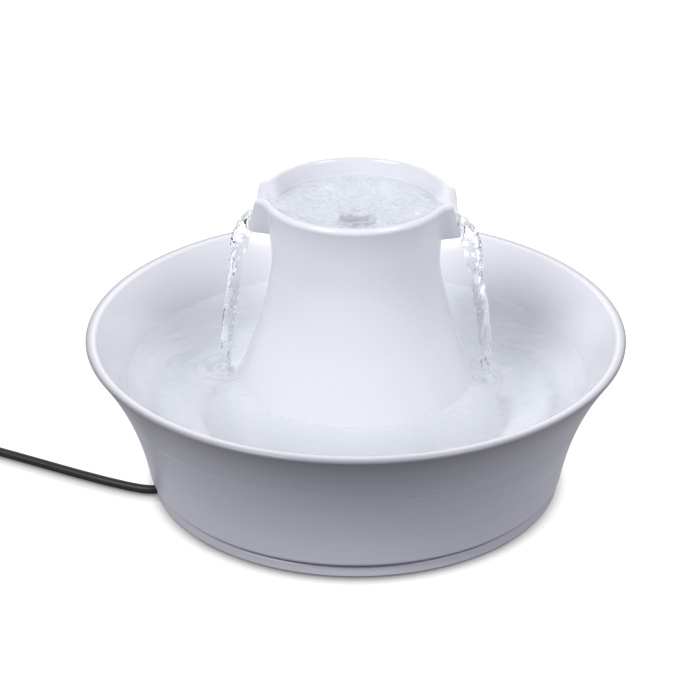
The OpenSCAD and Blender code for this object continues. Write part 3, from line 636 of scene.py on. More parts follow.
towerPoints = towerGrid()
towerPiece = gridPiece("towerCeramic", towerPoints, glaze, ringed=True)
# tone: painted light on the neck, painted shade under the water, a darker crest
addAttribute(towerPiece, "tone", towerTone(towerPoints))
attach(towerPiece, "tower")
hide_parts("tower")
print("stage 5: the tower is shaped, with", len(towerPiece.data.polygons), "faces")


# the water: a body that fills the bowl, one that fills the dish and its channels, two streams

waterShape = dict(bowlLevel=63.5, overlap=0.35, columns=420, landing=74.2, landingSeeds=(11, 23),
                  ringLength=8.5, ringHeight=0.42, ringFade=26, ringBend=1.2, bendLength=26,
                  chopLength=11, chopHeight=0.28, chopFade=48, fineLength=4.5, fineHeight=0.2, fineFade=26,
                  splash=1.3, splashWidth=3.2, moat=0.7, moatAt=6.5, moatWidth=2.2,
                  swell=0.10, swellLength=34, calmWall=14, calmLeast=0.05,
                  wallFringe=0.3, skirtFringe=0.25, fringeSpan=0.9,
                  filletRow=(108, 19), floorRadii=(101, 60, 2),
                  dishLevel=164.1, dishChop=0.8, dishChopLength=7.5, dishFineLength=4.4, dishRing=0.18,
                  dishRingLength=6.5, dishRingBend=1.4, dishRingFade=40, calmRim=5, rimFringe=0.5,
                  wellUp=1.8, wellRadius=12, wellWobble=0.15,
                  pourDrop=3.5, pourFrom=43, pourSpan=14, pourHalf=7.4, pourSoft=2.8, pourAt=55,
                  pourReach=57.2, pourRound=1.2)
waterLooks = dict(
    # the bowl's through stops paint shade under the front of the water, light under the back
    bowlWaterClear=dict(tint=(0.87, 0.895, 0.93), waveScale=160, waveHeight=0.00026, clearShare=0.66,
                        through=[(0.15, (0.60, 0.62, 0.64)), (0.5, (0.77, 0.79, 0.82)),
                                 (0.85, (0.96, 0.98, 1.0))]),
    dishWaterClear=dict(tint=(0.87, 0.895, 0.93), waveScale=130, waveHeight=0.0007, clearShare=0.62,
                        through=[(0.35, (0.30, 0.32, 0.34)), (0.65, (0.27, 0.29, 0.31))]),
    streamWater=dict(tint=(0.97, 0.98, 0.99), waveScale=220, waveHeight=0.00012, clearShare=1.0,
                     through=[(0.0, (0.90, 0.91, 0.92)), (1.0, (0.90, 0.91, 0.92))]))


def waterFinish(name, tint, through, waveScale, waveHeight, clearShare):
    # water: glass of index 1.33 that lets the lamps' light through to what lies under it, less what a
    # real surface would turn back, with fine waves as bump. Through is a list of stops from the front
    # to the back, over as much as the bowl's width; in the bowl they paint shade at the front and light
    # at the back. Fine bubbles cloud it, by 1 - clearShare
    material, tree, shader = startFinish(name, tint, 0.0, IOR=1.333, Transmission_Weight=clearShare)
    addBump(tree, shader, addNoise(tree, waveScale, 2.0), waveHeight)
    place = addNode(tree, "TexCoord").outputs["Object"]
    back = addNode(tree, "SeparateXYZ", {"Vector": place}).outputs["Y"]
    reach = bowlShape["rim"] * mm
    depth = addNode(tree, "MapRange", {"From Min": -reach, "From Max": reach, "Value": back})
    colour = addRamp(tree, depth.outputs["Result"], through)
    clear = addNode(tree, "BsdfTransparent", {"Color": colour})
    shadow = addNode(tree, "LightPath").outputs["Is Shadow Ray"]
    mix = addNode(tree, "MixShader", {0: shadow, 1: shader.outputs[0], 2: clear.outputs[0]})
    tree.links.new(mix.outputs[0], tree.nodes["Material Output"].inputs["Surface"])
    return material


waters = {name: waterFinish(name, **look) for name, look in waterLooks.items()}
turnAngle = math.radians(towerShape["turn"])
landings = [(reach * math.cos(turnAngle), reach * math.sin(turnAngle))
            for reach in (waterShape["landing"], -waterShape["landing"])]


def bowlWaterHeight(x, y):
    # level + rings round each landing point, height e^(-d/fade) sin(2 pi d / length), + short chop that
    # dies away from the streams + a splash in a moat, two bell curves of d, + a low swell
    s = waterShape
    height = s["swell"] * ripple(x, y, seed=4, waves=9, size=s["swellLength"])
    for place, seed in zip(landings, s["landingSeeds"]):
        d = np.hypot(x - place[0], y - place[1])
        bend = s["ringBend"] * ripple(x, y, seed, waves=6, size=s["bendLength"])
        wave = np.sin(2 * math.pi * (d + bend) / s["ringLength"])
        rings = s["ringHeight"] * np.exp(-d / s["ringFade"]) * wave
        chop = s["chopHeight"] * np.exp(-d / s["chopFade"]) * ripple(x, y, seed + 1, 22, s["chopLength"])
        fine = s["fineHeight"] * np.exp(-d / s["fineFade"]) * ripple(x, y, seed + 2, 22, s["fineLength"])
        moat = s["moat"] * np.exp(-((d - s["moatAt"]) / s["moatWidth"]) ** 2)
        splash = s["splash"] * np.exp(-(d / s["splashWidth"]) ** 2) - moat
        height = height + rings + chop + fine + splash
    return s["bowlLevel"] + height


def bowlWaterGrid():
    # top from the axis out to the wall, with the water drawn up wall and skirt by capillarity, as
    # fringe e^(-distance / fringeSpan), then down the wall and over the floor, just inside the ceramic
    s = waterShape
    wall = bowlWall(np.linspace(0.85, bowlShape["filletAt"], 40))[1]
    edge = np.interp(s["bowlLevel"], wall[::-1, 1], wall[::-1, 0]) + s["overlap"]
    turn = np.linspace(0, 2 * math.pi, s["columns"], endpoint=False)
    skirt = towerRadius(np.array([s["bowlLevel"]]))[0]
    r = np.concatenate([np.linspace(2, skirt - 5, 7), skirt + np.linspace(-3, 3, 17),
                        np.linspace(skirt + 4, edge - 4, 60), edge - np.array([3, 2.2, 1.5, 1, 0.6, 0.3, 0])])
    x, y = r[:, None] * np.cos(turn), r[:, None] * np.sin(turn)
    toWall = edge - s["overlap"] - np.minimum(r, edge - s["overlap"])
    fringe = s["wallFringe"] * np.exp(-toWall / s["fringeSpan"])
    fringe = fringe + s["skirtFringe"] * np.exp(-np.abs(r - skirt) / s["fringeSpan"])
    calm = s["calmLeast"] + (1 - s["calmLeast"]) * smoothStep((edge - r) / s["calmWall"])
    height = s["bowlLevel"] + (bowlWaterHeight(x, y) - s["bowlLevel"]) * calm[:, None]
    top = np.stack([x, y, height + fringe[:, None]], axis=-1)
    below = wall[wall[:, 1] < s["bowlLevel"] - 2] + np.array([s["overlap"], 0])
    bed = bowlShape["floorTop"] - s["overlap"]
    floor = [s["filletRow"]] + [(radius, bed) for radius in s["floorRadii"]]
    return np.concatenate([top, turnGrid(np.concatenate([below, floor]), turn)]) * mm


bowlWater = gridPiece("bowlWater", bowlWaterGrid(), waters["bowlWaterClear"])
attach(bowlWater, "base")


def pourTop(r):
    # the water's surface falls smoothly by pourDrop towards the end of a channel
    s = waterShape
    return s["dishLevel"] - s["pourDrop"] * smoothStep((r - s["pourFrom"]) / s["pourSpan"])


def dishWaterGrid():
    # a disc with two tongues through the channels. Its edge is where the dish's curve, turned round to
    # give the radius, has the water's height, or the lip where the channel cuts it. In the middle of a
    # channel the water runs on over the crest. Chop, rings and a well over the riser shape its top
    s, t = waterShape, towerShape
    turn = towerColumns()[None, :]
    _, _, inner, landing = rimLine(turn)
    plan = dishPlan(turn)
    share = (t["top"] - t["dishDrop"] - pourTop(0.95 * plan)) / (t["dishDepth"] - t["dishDrop"])
    meet = plan * (1 - share ** t["dishPower"]) ** (1 / t["dishPower"])
    across = np.abs(np.sin(turn)) * s["pourAt"]
    tongue = smoothStep((s["pourHalf"] + s["pourSoft"] / 2 - across) / s["pourSoft"])
    tongue = tongue * (np.abs(np.cos(turn)) > 0.7)
    edge = softMin(meet + s["overlap"], inner + 0.6, 0.6) * (1 - tongue) + s["pourReach"] * tongue
    share = np.concatenate([np.linspace(0.03, 0.95, 60), [0.965, 0.98, 0.99, 1.0]])[:, None]
    r = share * edge
    x, y = r * np.cos(turn), r * np.sin(turn)
    chop = 0.6 * ripple(x, y, 31, 30, s["dishChopLength"]) + 0.3 * ripple(x, y, 32, 30, s["dishFineLength"])
    bend = s["dishRingBend"] * ripple(x, y, seed=34, waves=10, size=16)
    rings = s["dishRing"] * np.sin(2 * math.pi * (r + bend) / s["dishRingLength"])
    chop = s["dishChop"] * chop + rings * np.exp(-r / s["dishRingFade"])
    calm = smoothStep((edge - r) / s["calmRim"])
    wobble = 1 + s["wellWobble"] * ripple(x, y, seed=33, waves=12, size=7)
    well = s["wellUp"] * np.exp(-(r / s["wellRadius"]) ** 2) * wobble
    fringe = s["rimFringe"] * np.exp(-(edge - r) / s["fringeSpan"]) * (1 - tongue)
    fringe = fringe - s["pourRound"] * np.exp(r - edge) * tongue
    top = pourTop(r) + chop * calm + well + fringe
    rLow = np.concatenate([[0.993, 0.98], np.linspace(0.96, 0.24, 22)])[:, None] * edge
    low = np.minimum(dishHeight(np.minimum(rLow, inner), turn), landing) - s["overlap"]
    rows = np.concatenate([np.stack([r, top], axis=-1), np.stack([rLow, low], axis=-1)])
    return spun(rows, turn + turnAngle) * mm


dishWater = gridPiece("dishWater", dishWaterGrid(), waters["dishWaterClear"])
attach(dishWater, "tower")


# the two streams: sizes down the fall, at the heights given

streamShape = dict(start=(52, 159.1), lip=(58.6, 158.4), throw=15.4, rows=170, lipRows=8, sides=56, end=61.5,
                   height=(162, 158, 154, 150, 146, 140, 133, 126, 118, 105, 90, 78, 65, 61),
                   wide=(6.8, 6.9, 6.6, 6.3, 6.0, 5.6, 5.2, 4.8, 4.3, 3.9, 3.8, 3.7, 3.5, 5.0),
                   thin=(1.0, 1.0, 0.9, 0.8, 0.8, 0.9, 1.1, 1.4, 1.7, 1.9, 2.0, 2.0, 2.1, 4.0),
                   belly=(0.3, 1.2, 5.0, 8.3, 9.2, 8.4, 6.2, 4.2, 2.6, 1.6, 1.2, 0.8, 0.4, 0.0),
                   twist=(0, 0, 0, 0, 0, 0, 5, 15, 35, 70, 100, 130, 155, 160), inward=0.65,
                   swirl=0.26, swirlFrom=6, swirlSpan=10, curl=0.24, curlFrom=7, curlSpan=6)


def streamGrid(seed):
    # a sheet bent into a trough, y = wide cos a, n = thin sin a - belly (cos^2 a - 1 + inward), carried
    # along the fall x = lip + throw sqrt(drop); it twists, narrows and is roughened as it falls, and
    # curls run over its outer face
    s = streamShape
    total = s["lip"][1] - s["end"]
    fall = np.linspace(0, 1, s["rows"] - s["lipRows"])
    lipX, lipZ = [np.linspace(s["start"][k], s["lip"][k], s["lipRows"], endpoint=False) for k in (0, 1)]
    x = np.concatenate([lipX, s["lip"][0] + s["throw"] * fall])
    z = np.concatenate([lipZ, s["lip"][1] - total * fall ** 2])
    path = np.stack([x, 0 * x, z], axis=-1)
    across = np.array([0.0, 1.0, 0.0])
    over = np.cross(directions(path), across)
    a = np.linspace(0, 2 * math.pi, s["sides"], endpoint=False)[None, :]
    heights = np.array(s["height"])[::-1]
    wide, thin, belly, twist = [np.interp(z, heights, np.array(s[key])[::-1])[:, None]
                                for key in ("wide", "thin", "belly", "twist")]
    step = np.linalg.norm(np.diff(path, axis=0, prepend=path[:1]), axis=1).cumsum()[:, None]
    rough = ripple(step + 9 * a, 3.5 * np.sin(a), seed, waves=14, size=13)
    rough = rough + 0.6 * ripple(step, 8 * np.cos(a), seed + 1, waves=14, size=7)
    rough = s["swirl"] * smoothStep((step - s["swirlFrom"]) / s["swirlSpan"]) * rough
    curls = s["curl"] * smoothStep((step - s["curlFrom"]) / s["curlSpan"])
    curls = curls * ripple(1.5 * step, wide * np.cos(a), seed + 2, waves=18, size=4.2)
    w = wide * np.cos(a) + rough * np.cos(a)
    n = thin * np.sin(a) - belly * (np.cos(a) ** 2 - 1 + s["inward"]) + rough * np.sin(a)
    w, n = rotated(w, n + curls * np.clip(np.sin(a), 0, 1) ** 2, np.radians(twist))
    return path[:, None] + w[..., None] * across + n[..., None] * over[:, None]


for heading, seed, name in ((turnAngle, 41, "streamRight"), (turnAngle + math.pi, 57, "streamLeft")):
    points = streamGrid(seed)
    points[..., 0], points[..., 1] = rotated(points[..., 0], points[..., 1], heading)
    stream = gridPiece(name, points * mm, waters["streamWater"])
    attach(stream, "tower")
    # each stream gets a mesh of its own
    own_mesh(stream)
print("stage 6: the water is in")


# the fittings keep their own shape and get a finish each: a light and a dark tone, the roughness of
# both, the size of the clouding and of the grain in features per metre, the grain's height in metres

fittingFinishes = dict(
    pumpPlastic=dict(light=(0.046, 0.048, 0.053), dark=(0.030, 0.032, 0.036), roughness=(0.36, 0.48),
                     scale=45, grain=2400, grainHeight=0.00003),
    greyPlastic=dict(light=(0.27, 0.26, 0.245), dark=(0.20, 0.19, 0.18), roughness=(0.36, 0.48),
                     scale=45, grain=2400, grainHeight=0.00003),
    trayPlastic=dict(light=(0.80, 0.82, 0.83), dark=(0.70, 0.73, 0.75), roughness=(0.22, 0.32),
                     scale=30, grain=1500, grainHeight=0.00002, Transmission_Weight=0.25, IOR=1.49),
    framePlastic=dict(light=(0.84, 0.86, 0.87), dark=(0.76, 0.79, 0.81), roughness=(0.26, 0.36),
                      scale=55, grain=1800, grainHeight=0.00002),
    dialPlastic=dict(light=(0.24, 0.30, 0.36), dark=(0.18, 0.23, 0.29), roughness=(0.30, 0.42),
                     scale=90, grain=2400, grainHeight=0.00002),
    nylon=dict(light=(0.80, 0.76, 0.64), dark=(0.70, 0.65, 0.52), roughness=(0.40, 0.52),
               scale=70, grain=2000, grainHeight=0.00003),
    impellerPlastic=dict(light=(0.74, 0.74, 0.68), dark=(0.64, 0.64, 0.58), roughness=(0.24, 0.36),
                         scale=80, grain=2200, grainHeight=0.00002),
    adaptorPlastic=dict(light=(0.030, 0.030, 0.032), dark=(0.020, 0.020, 0.022), roughness=(0.42, 0.54),
                        scale=35, grain=2600, grainHeight=0.00006),
    rubber=dict(light=(0.034, 0.034, 0.036), dark=(0.020, 0.020, 0.022), roughness=(0.62, 0.74),
                scale=60, grain=1600, grainHeight=0.00005),
    paleRubber=dict(light=(0.62, 0.58, 0.50), dark=(0.52, 0.48, 0.41), roughness=(0.52, 0.64),
                    scale=120, grain=2600, grainHeight=0.00003),
    silicone=dict(light=(0.74, 0.77, 0.78), dark=(0.64, 0.68, 0.70), roughness=(0.30, 0.42),
                  scale=65, grain=1400, grainHeight=0.00003, Transmission_Weight=0.35, IOR=1.41),
    resin=dict(light=(0.020, 0.020, 0.022), dark=(0.010, 0.010, 0.012), roughness=(0.12, 0.26),
               scale=110, grain=500, grainHeight=0.00008),
    ceramicRod=dict(light=(0.86, 0.84, 0.79), dark=(0.78, 0.76, 0.71), roughness=(0.14, 0.22),
                    scale=140, grain=3000, grainHeight=0.00001),
    ferrite=dict(light=(0.075, 0.075, 0.080), dark=(0.045, 0.045, 0.050), roughness=(0.34, 0.50),
                 scale=160, grain=2400, grainHeight=0.00004, Metallic=0.4),
    brass=dict(light=(0.72, 0.60, 0.36), dark=(0.60, 0.48, 0.27), roughness=(0.20, 0.34),
               scale=220, grain=2600, grainHeight=0.00003, stretch=(0.1, 1, 1), Metallic=1.0),
    tieNylon=dict(light=(0.020, 0.020, 0.020), dark=(0.012, 0.012, 0.012), roughness=(0.50, 0.66),
                  scale=400, grain=2400, grainHeight=0.00012))
nodesOfFinish = dict(
    pumpPlastic=("pump_body", "pump_back", "pump_cover"), greyPlastic=("riser_tube",),
    trayPlastic=("filter_housing",),
    framePlastic=("cartridge_frame",), dialPlastic=("flow_dial",), nylon=("stator_bobbin",),
    impellerPlastic=("impeller",), adaptorPlastic=("adaptor_front", "adaptor_back"),
    rubber=("foot_pads", "cord_seal", "lead_gland"), paleRubber=("front_bush", "rear_bush"),
    silicone=("suction_cups", "dish_seal"), resin=("potting",), ceramicRod=("impeller_shaft",),
    ferrite=("rotor_magnet",), brass=("adaptor_blades",), tieNylon=("coil_tie",))


def dress(nodeName, material):
    # the node's own object shows one finish only
    slots = nodes[nodeName].data.materials
    slots.clear()
    slots.append(material)


for finishName, numbers in fittingFinishes.items():
    finish = variedFinish(finishName, **numbers)
    for nodeName in nodesOfFinish[finishName]:
        dress(nodeName, finish)

layered = dict(
    stator_core=dict(light=(0.42, 0.43, 0.46), dark=(0.16, 0.16, 0.18), roughness=0.42,
                     axis="Y", pitch=0.0005),
    stator_coil=dict(light=(0.80, 0.36, 0.16), dark=(0.22, 0.07, 0.03), roughness=0.26,
                     axis="X", pitch=0.0004),
    transformer_core=dict(light=(0.40, 0.41, 0.44), dark=(0.15, 0.15, 0.17), roughness=0.45,
                          axis="X", pitch=0.0005),
    transformer_coil=dict(light=(0.78, 0.34, 0.15), dark=(0.20, 0.06, 0.03), roughness=0.28,
                          axis="Z", pitch=0.0006))


def layeredFinish(name, light, dark, axis, pitch, roughness):
    # stacked sheets or wound wire: sine bands across one axis, a pitch apart, as tone and as bump, the
    # tone dark in the grooves between sheets or turns as painted shade. At a scale of 1 the node's bands
    # are 2 pi / 20 apart
    material, tree, shader = startFinish(name, light, roughness, Metallic=0.85)
    place = addNode(tree, "TexCoord").outputs["Object"]
    inputs = {"Scale": 2 * math.pi / (20 * pitch), "Distortion": 0.6, "Vector": place}
    bands = addNode(tree, "TexWave", inputs, bands_direction=axis).outputs["Fac"]
    tree.links.new(addRamp(tree, bands, [(0.1, dark), (0.55, light)]), shader.inputs["Base Color"])
    addBump(tree, shader, bands, pitch / 4)
    return material


for nodeName, numbers in layered.items():
    dress(nodeName, layeredFinish(nodeName + "Layers", **numbers))


# the lead inside, from the pump's gland to the seal in the floor

innerLead = dict(route=[(-24, 30, 45), (-29, 30, 45), (-34, 28, 44.5), (-39, 24, 43), (-43, 18, 40),
                        (-45, 11, 36), (-46, 4, 32), (-46, -2, 28.5), (-45.3, -7, 25), (-44.3, -9.8, 21.5),
                        (-44, -10.5, 18)],
                 steps=7, sides=20, up=(1, 0, 1))
innerPath = smoothPath(innerLead["route"], innerLead["steps"]) * mm
innerTube = tubeGrid(innerPath, lead["diameter"] / 2, innerLead["sides"], innerLead["up"])
innerPiece = gridPiece("innerLead", innerTube, jacket)
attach(innerPiece, "base")
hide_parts("pump_lead")


# the adaptor's strain relief: a taper cut by rings of slots, turned about the lead's line

relief = dict(at=(-287, 7), start=-82, length=26, thick=5, thin=3.2, rows=150, columns=48, endRound=0.5,
              mouthRound=0.4, roundSpan=0.5, slots=5, slotDepth=0.9, slotSteep=1.6, slotRib=0.5,
              slotFrom=0.08, slotTo=0.93)
reliefLook = dict(light=(0.030, 0.030, 0.031), dark=(0.020, 0.020, 0.021), roughness=(0.5, 0.62),
                  scale=80, grain=1800, grainHeight=0.00004)


def reliefGrid():
    # radius falls evenly along the length, less a sine-shaped groove at each slot, and less
    # e^(-distance / roundSpan) at both ends
    s = relief
    t = np.linspace(0, 1, s["rows"])
    groove = np.clip(np.sin(t * 2 * math.pi * s["slots"]) * s["slotSteep"] - s["slotRib"], 0, 1)
    groove = groove * (t < s["slotTo"]) * (t > s["slotFrom"])
    radius = s["thick"] + (s["thin"] - s["thick"]) * t - s["slotDepth"] * groove
    radius = radius - s["endRound"] * np.exp(-t * s["length"] / s["roundSpan"])
    r = (radius - s["mouthRound"] * np.exp(-(1 - t) * s["length"] / s["roundSpan"]))[:, None]
    a = np.linspace(0, 2 * math.pi, s["columns"], endpoint=False)[None, :]
    y = (s["start"] + s["length"] * t)[:, None] + 0 * a
    return np.stack([s["at"][0] + r * np.cos(a), y, s["at"][1] + r * np.sin(a)], axis=-1) * mm


reliefPiece = gridPiece("leadRelief", reliefGrid(), variedFinish("reliefRubber", **reliefLook))
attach(reliefPiece, "base")
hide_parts("adaptor_relief")


# the two soft filters: a foam block, and a pouch of carbon granules in its frame

foamShape = dict(low=(-21, -27, 23.3), high=(21, -15, 56.3), corner=2.4, edge=1.5, pull=0.45, rough=0.10,
                 grid=0.8, seed=71, fill=0.9)
pouchShape = dict(low=(-19.5, -39.5, 26), high=(19.5, -29.5, 56), corner=2.2, edge=2.6, pull=0.0, rough=0.12,
                  grid=0.5, seed=83, fill=0.8, window=(7.8, 14.5), windowLow=(-19.5, 27), dent=0.9,
                  dentFrom=2.5, dentSpan=2)


def roundedRing(halfX, halfY, corner, count):
    # evenly spaced points round a rectangle whose corners are quarter circles
    corner = np.minimum(corner, 0.98 * np.minimum(halfX, halfY))
    flatX, flatY = 2 * (halfX - corner), 2 * (halfY - corner)
    spans = np.array([flatX, corner * math.pi / 2, flatY, corner * math.pi / 2] * 2)
    marks = np.concatenate([[0], np.cumsum(spans)])
    at = np.linspace(0, marks[-1], count, endpoint=False)
    part = np.clip(np.searchsorted(marks, at, side="right") - 1, 0, 7)
    along = at - marks[part]
    quarter = part // 2
    turn = quarter * math.pi / 2
    half = np.where(quarter % 2 == 0, flatX, flatY) / 2
    other = np.where(quarter % 2 == 0, flatY, flatX) / 2
    bend = np.where(part % 2 == 1, along / corner, 0)
    u = np.where(part % 2 == 1, half + corner * np.sin(bend), along - half)
    v = -np.where(part % 2 == 1, other + corner * np.cos(bend), other + corner)
    return np.stack(rotated(u, v, turn), axis=-1)


def padGrid(s):
    # rings of a rounded rectangle from the middle of the underside to the middle of the top, their
    # inset and height following a quarter circle at both edges. The sides pull in by a parabola
    low, high = np.array(s["low"], float), np.array(s["high"], float)
    centre, half = (low + high) / 2, (high - low) / 2
    count = int(2 * (2 * half[0] + 2 * half[1]) / s["grid"])
    bend = np.linspace(0, math.pi / 2, 6)
    face = np.linspace(half[1] * 0.97, s["edge"], int(half[1] / s["grid"]))[:-1]
    inset = np.concatenate([face, s["edge"] * (1 - np.sin(bend))])
    z = np.concatenate([0 * face, s["edge"] * (1 - np.cos(bend))])
    rise = np.linspace(0, 1, int(2 * half[2] / s["grid"]))[1:-1]
    inset = np.concatenate([inset, 0 * rise, inset[::-1]])
    side = low[2] + s["edge"] + (2 * half[2] - 2 * s["edge"]) * rise
    z = np.concatenate([low[2] + z, side, high[2] - z[::-1]])
    rings = np.stack([roundedRing(half[0] - d, half[1] - d, max(s["corner"] - d, 0.3), count) for d in inset])
    grid = np.concatenate([rings, np.broadcast_to(z[:, None, None], (*rings.shape[:2], 1))], axis=-1)
    upright = np.clip(1 - ((z - centre[2]) / half[2]) ** 2, 0, 1)[:, None]
    sideways = np.clip(1 - (grid[..., 0] / half[0]) ** 2, 0, 1)
    grid[..., 1] *= 1 - s["pull"] / half[1] * upright * sideways
    grid[..., 0] *= 1 - s["pull"] / half[0] * upright
    # a little unevenness, always inwards
    uneven = ripple(grid[..., 0] + 1.3 * grid[..., 2], grid[..., 1] + 0.7 * grid[..., 0], s["seed"], 20, 5)
    grid[..., :2] *= 1 - s["rough"] * (1 + np.clip(uneven, -1, 1))[..., None] / half[:2]
    return grid, centre, half


def padPiece(name, grid, centre, material, body, node):
    # the grid moved from the axis to its centre in x and y, as a padded piece in place of a node
    piece = gridPiece(name, (grid + np.array([centre[0], centre[1], 0])) * mm, material)
    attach(piece, body)
    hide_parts(node)


def foamFinish():
    # open-cell foam: cells whose hollows are painted dark as shade and whose ribs are painted bright as
    # light, in two sizes
    material, tree, shader = startFinish("foamCells", (0.08, 0.10, 0.14), 0.85)
    cells = addNoise(tree, 1150, 0.0, kind="TexVoronoi")
    tree.links.new(addRamp(tree, cells, [(0.05, (0.006, 0.008, 0.012)), (0.42, (0.045, 0.060, 0.088)),
                                         (0.75, (0.105, 0.130, 0.175))]), shader.inputs["Base Color"])
    first = addBump(tree, shader, cells, 0.0007)
    addBump(tree, shader, addNoise(tree, 420, 3.0), 0.0003, before=first)
    return material


def pouchFinish():
    # black granules that show through a thin fleece: cells for the granules, painted lighter at their
    # middles as light and dark between them as shade, fine noise for the fibres
    material, tree, shader = startFinish("carbonPouch", (0.02, 0.02, 0.022), 0.7)
    granules = addNoise(tree, 620, 0.0, kind="TexVoronoi")
    tree.links.new(addRamp(tree, granules, [(0.0, (0.050, 0.050, 0.054)), (0.5, (0.022, 0.022, 0.025)),
                                            (0.8, (0.008, 0.008, 0.010))]), shader.inputs["Base Color"])
    first = addBump(tree, shader, granules, -0.0006)
    addBump(tree, shader, addNoise(tree, 2600, 2.0, (0.3, 1, 1)), 0.00008, before=first)
    return material


def pressPouch(grid, half):
    # the pouch is crowned in each window of its frame, by sqrt(|sin x| |sin z|), and pressed in by dent
    # behind the bars, on both faces
    s = pouchShape
    waves = [np.abs(np.sin(math.pi * (grid[..., axis] - low) / span))
             for axis, low, span in zip((0, 2), s["windowLow"], s["window"])]
    crown = np.sqrt(waves[0] * waves[1])
    onFace = smoothStep((np.abs(grid[..., 1]) - half[1] + s["dentFrom"]) / s["dentSpan"])
    grid[..., 1] *= 1 - s["dent"] / half[1] * (1 - crown) * onFace


foamGrid, foamCentre, _ = padGrid(foamShape)
padPiece("foamBlock", foamGrid, foamCentre, foamFinish(), "foam", "foam_filter")
pouchGrid, pouchCentre, pouchHalf = padGrid(pouchShape)
pressPouch(pouchGrid, pouchHalf)
padPiece("carbonPouch", pouchGrid, pouchCentre, pouchFinish(), "cartridge",
         "carbon_pad")
print("stage 7: every fitting has its finish, and the filters are filled")


# floor, world and lamps: greys or colours, and ramps of them along a direction

light = dict(floorGlow=0.95, floorSeen=0.25, floorMirrored=0.5, floorBounce=0.06, floorReach=6,
             shadeReach=0.0088, shadeTilt=50, shadeSamples=16,
             mirroredBack=[(0.0, 0.2), (0.45, 0.45), (0.8, 1.0)],
             mirroredHeight=[(0.4, 1.0), (0.6, 0.9), (0.8, 0.2)],
             mirroredLow=[(0.0, 0.55), (0.12, 0.6), (0.4, 1.0)],
             sky=[(0.0, (0.68, 0.70, 0.85)), (0.3, (0.54, 0.56, 0.68)), (0.65, (0.27, 0.27, 0.30)),
                  (1.0, (0.22, 0.22, 0.24))],
             lamps=dict(frontHigh=dict(height=57, heading=0, spread=28, strength=0.10),
                        frontLeft=dict(height=46, heading=-48, spread=24, strength=1.68),
                        frontRight=dict(height=46, heading=48, spread=24, strength=1.03),
                        back=dict(height=55, heading=165, spread=70, strength=0.45)))


def seenRays(tree):
    # 1 for what the camera sees, also in a gloss or through clear pieces: the largest of the three
    # kinds of ray, as long as the path has met no matt surface before
    rays = addNode(tree, "LightPath").outputs
    direct = addMath(tree, "LESS_THAN", rays["Diffuse Depth"], 0.5)
    total = addMath(tree, "MAXIMUM", rays["Is Camera Ray"], rays["Is Glossy Ray"])
    total = addMath(tree, "MAXIMUM", total, rays["Is Transmission Ray"])
    return addMath(tree, "MULTIPLY", total, direct)


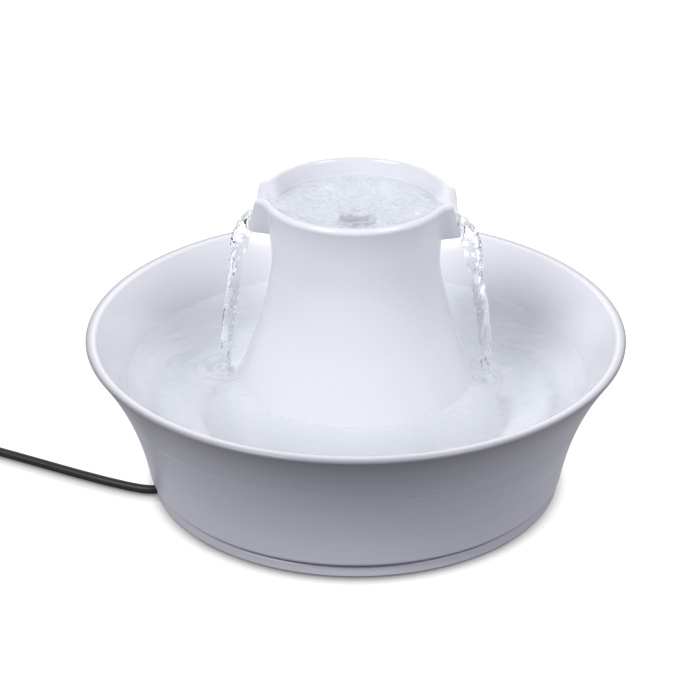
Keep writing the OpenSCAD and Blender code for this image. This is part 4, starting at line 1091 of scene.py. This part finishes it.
def floorFinish():
    # a glow and a matt tone, each for what is seen or for the light it gives back, times the shade and
    # the share in which it is mirrored
    material = bpy.data.materials.new("paleFloor")
    material.use_nodes = True
    material.cycles.emission_sampling = "NONE"
    tree = material.node_tree
    tree.nodes.remove(tree.nodes["Principled BSDF"])
    # the floor is darker close to whatever stands on it, most of all in front of it, because the
    # directions that are tested for it lean to the back
    tilt = math.radians(light["shadeTilt"])
    lean = addNode(tree, "CombineXYZ", {"Y": math.sin(tilt), "Z": math.cos(tilt)}).outputs["Vector"]
    shade = addNode(tree, "AmbientOcclusion", {"Distance": light["shadeReach"], "Normal": lean},
                    samples=light["shadeSamples"]).outputs["Color"]
    # glaze mirrors it duller, but not water, inside which it is mirrored too
    rays = addNode(tree, "LightPath").outputs
    inWater = addMath(tree, "GREATER_THAN", rays["Transmission Depth"], 0.5)
    mirrored = blend(tree, inWater, blend(tree, rays["Is Glossy Ray"], 1.0, light["floorMirrored"]), 1.0)
    seen = seenRays(tree)
    glow = product(tree, blend(tree, seen, 0.0, light["floorGlow"]), shade)
    tone = product(tree, blend(tree, seen, light["floorBounce"], light["floorSeen"]), shade)
    glowing = addNode(tree, "Emission", {"Color": product(tree, glow, mirrored)}).outputs[0]
    matt = addNode(tree, "BsdfDiffuse", {"Color": product(tree, tone, mirrored)}).outputs[0]
    both = addNode(tree, "AddShader", {0: glowing, 1: matt}).outputs[0]
    tree.links.new(both, tree.nodes["Material Output"].inputs["Surface"])
    return material


reach = light["floorReach"]
corners = [(-reach, -reach, 0), (reach, -reach, 0), (reach, reach, 0), (-reach, reach, 0)]
floorMesh = bpy.data.meshes.new("floor")
floorMesh.from_pydata(corners, [], [(0, 1, 2, 3)])
floorMesh.materials.append(floorFinish())
floor = bpy.data.objects.new("floor", floorMesh)
bpy.context.scene.collection.objects.link(floor)

# the sky gives its light by height above the horizon and shows as white; glaze and water show a room
# that is white at the back and darker towards the front and overhead, and in a gloss also low down
world = bpy.data.worlds.new("studio")
bpy.context.scene.world = world
world.use_nodes = True
sky = world.node_tree
skyPlace = addNode(sky, "TexCoord").outputs["Generated"]
facing = addNode(sky, "SeparateXYZ", {"Vector": skyPlace}).outputs
skyRays = addNode(sky, "LightPath").outputs
mirrored = product(sky, addRamp(sky, facing["Y"], light["mirroredBack"]),
                   addRamp(sky, facing["Z"], light["mirroredHeight"]))
mirrored = product(sky, mirrored, blend(sky, skyRays["Is Glossy Ray"], 1.0,
                                        addRamp(sky, facing["Z"], light["mirroredLow"])))
skySeen = blend(sky, skyRays["Is Camera Ray"], mirrored, 1.0)
skyColour = blend(sky, seenRays(sky), addRamp(sky, facing["Z"], light["sky"]), skySeen)
sky.links.new(skyColour, sky.nodes["Background"].inputs["Color"])


def addLamp(name, height, heading, spread, strength):
    # a distant soft lamp, all in degrees: height above the horizon, heading from straight in front
    # towards +X, and how wide it looks
    lamp = bpy.data.lights.new(name, "SUN")
    lamp.energy = strength
    lamp.angle = math.radians(spread)
    stand = bpy.data.objects.new(name, lamp)
    stand.rotation_euler = (math.radians(90 - height), 0, math.radians(heading))
    bpy.context.scene.collection.objects.link(stand)


for lampName, numbers in light["lamps"].items():
    addLamp(lampName, **numbers)
bpy.context.scene.view_settings.view_transform = "Standard"
print("stage 8: the floor and the lamps are in")
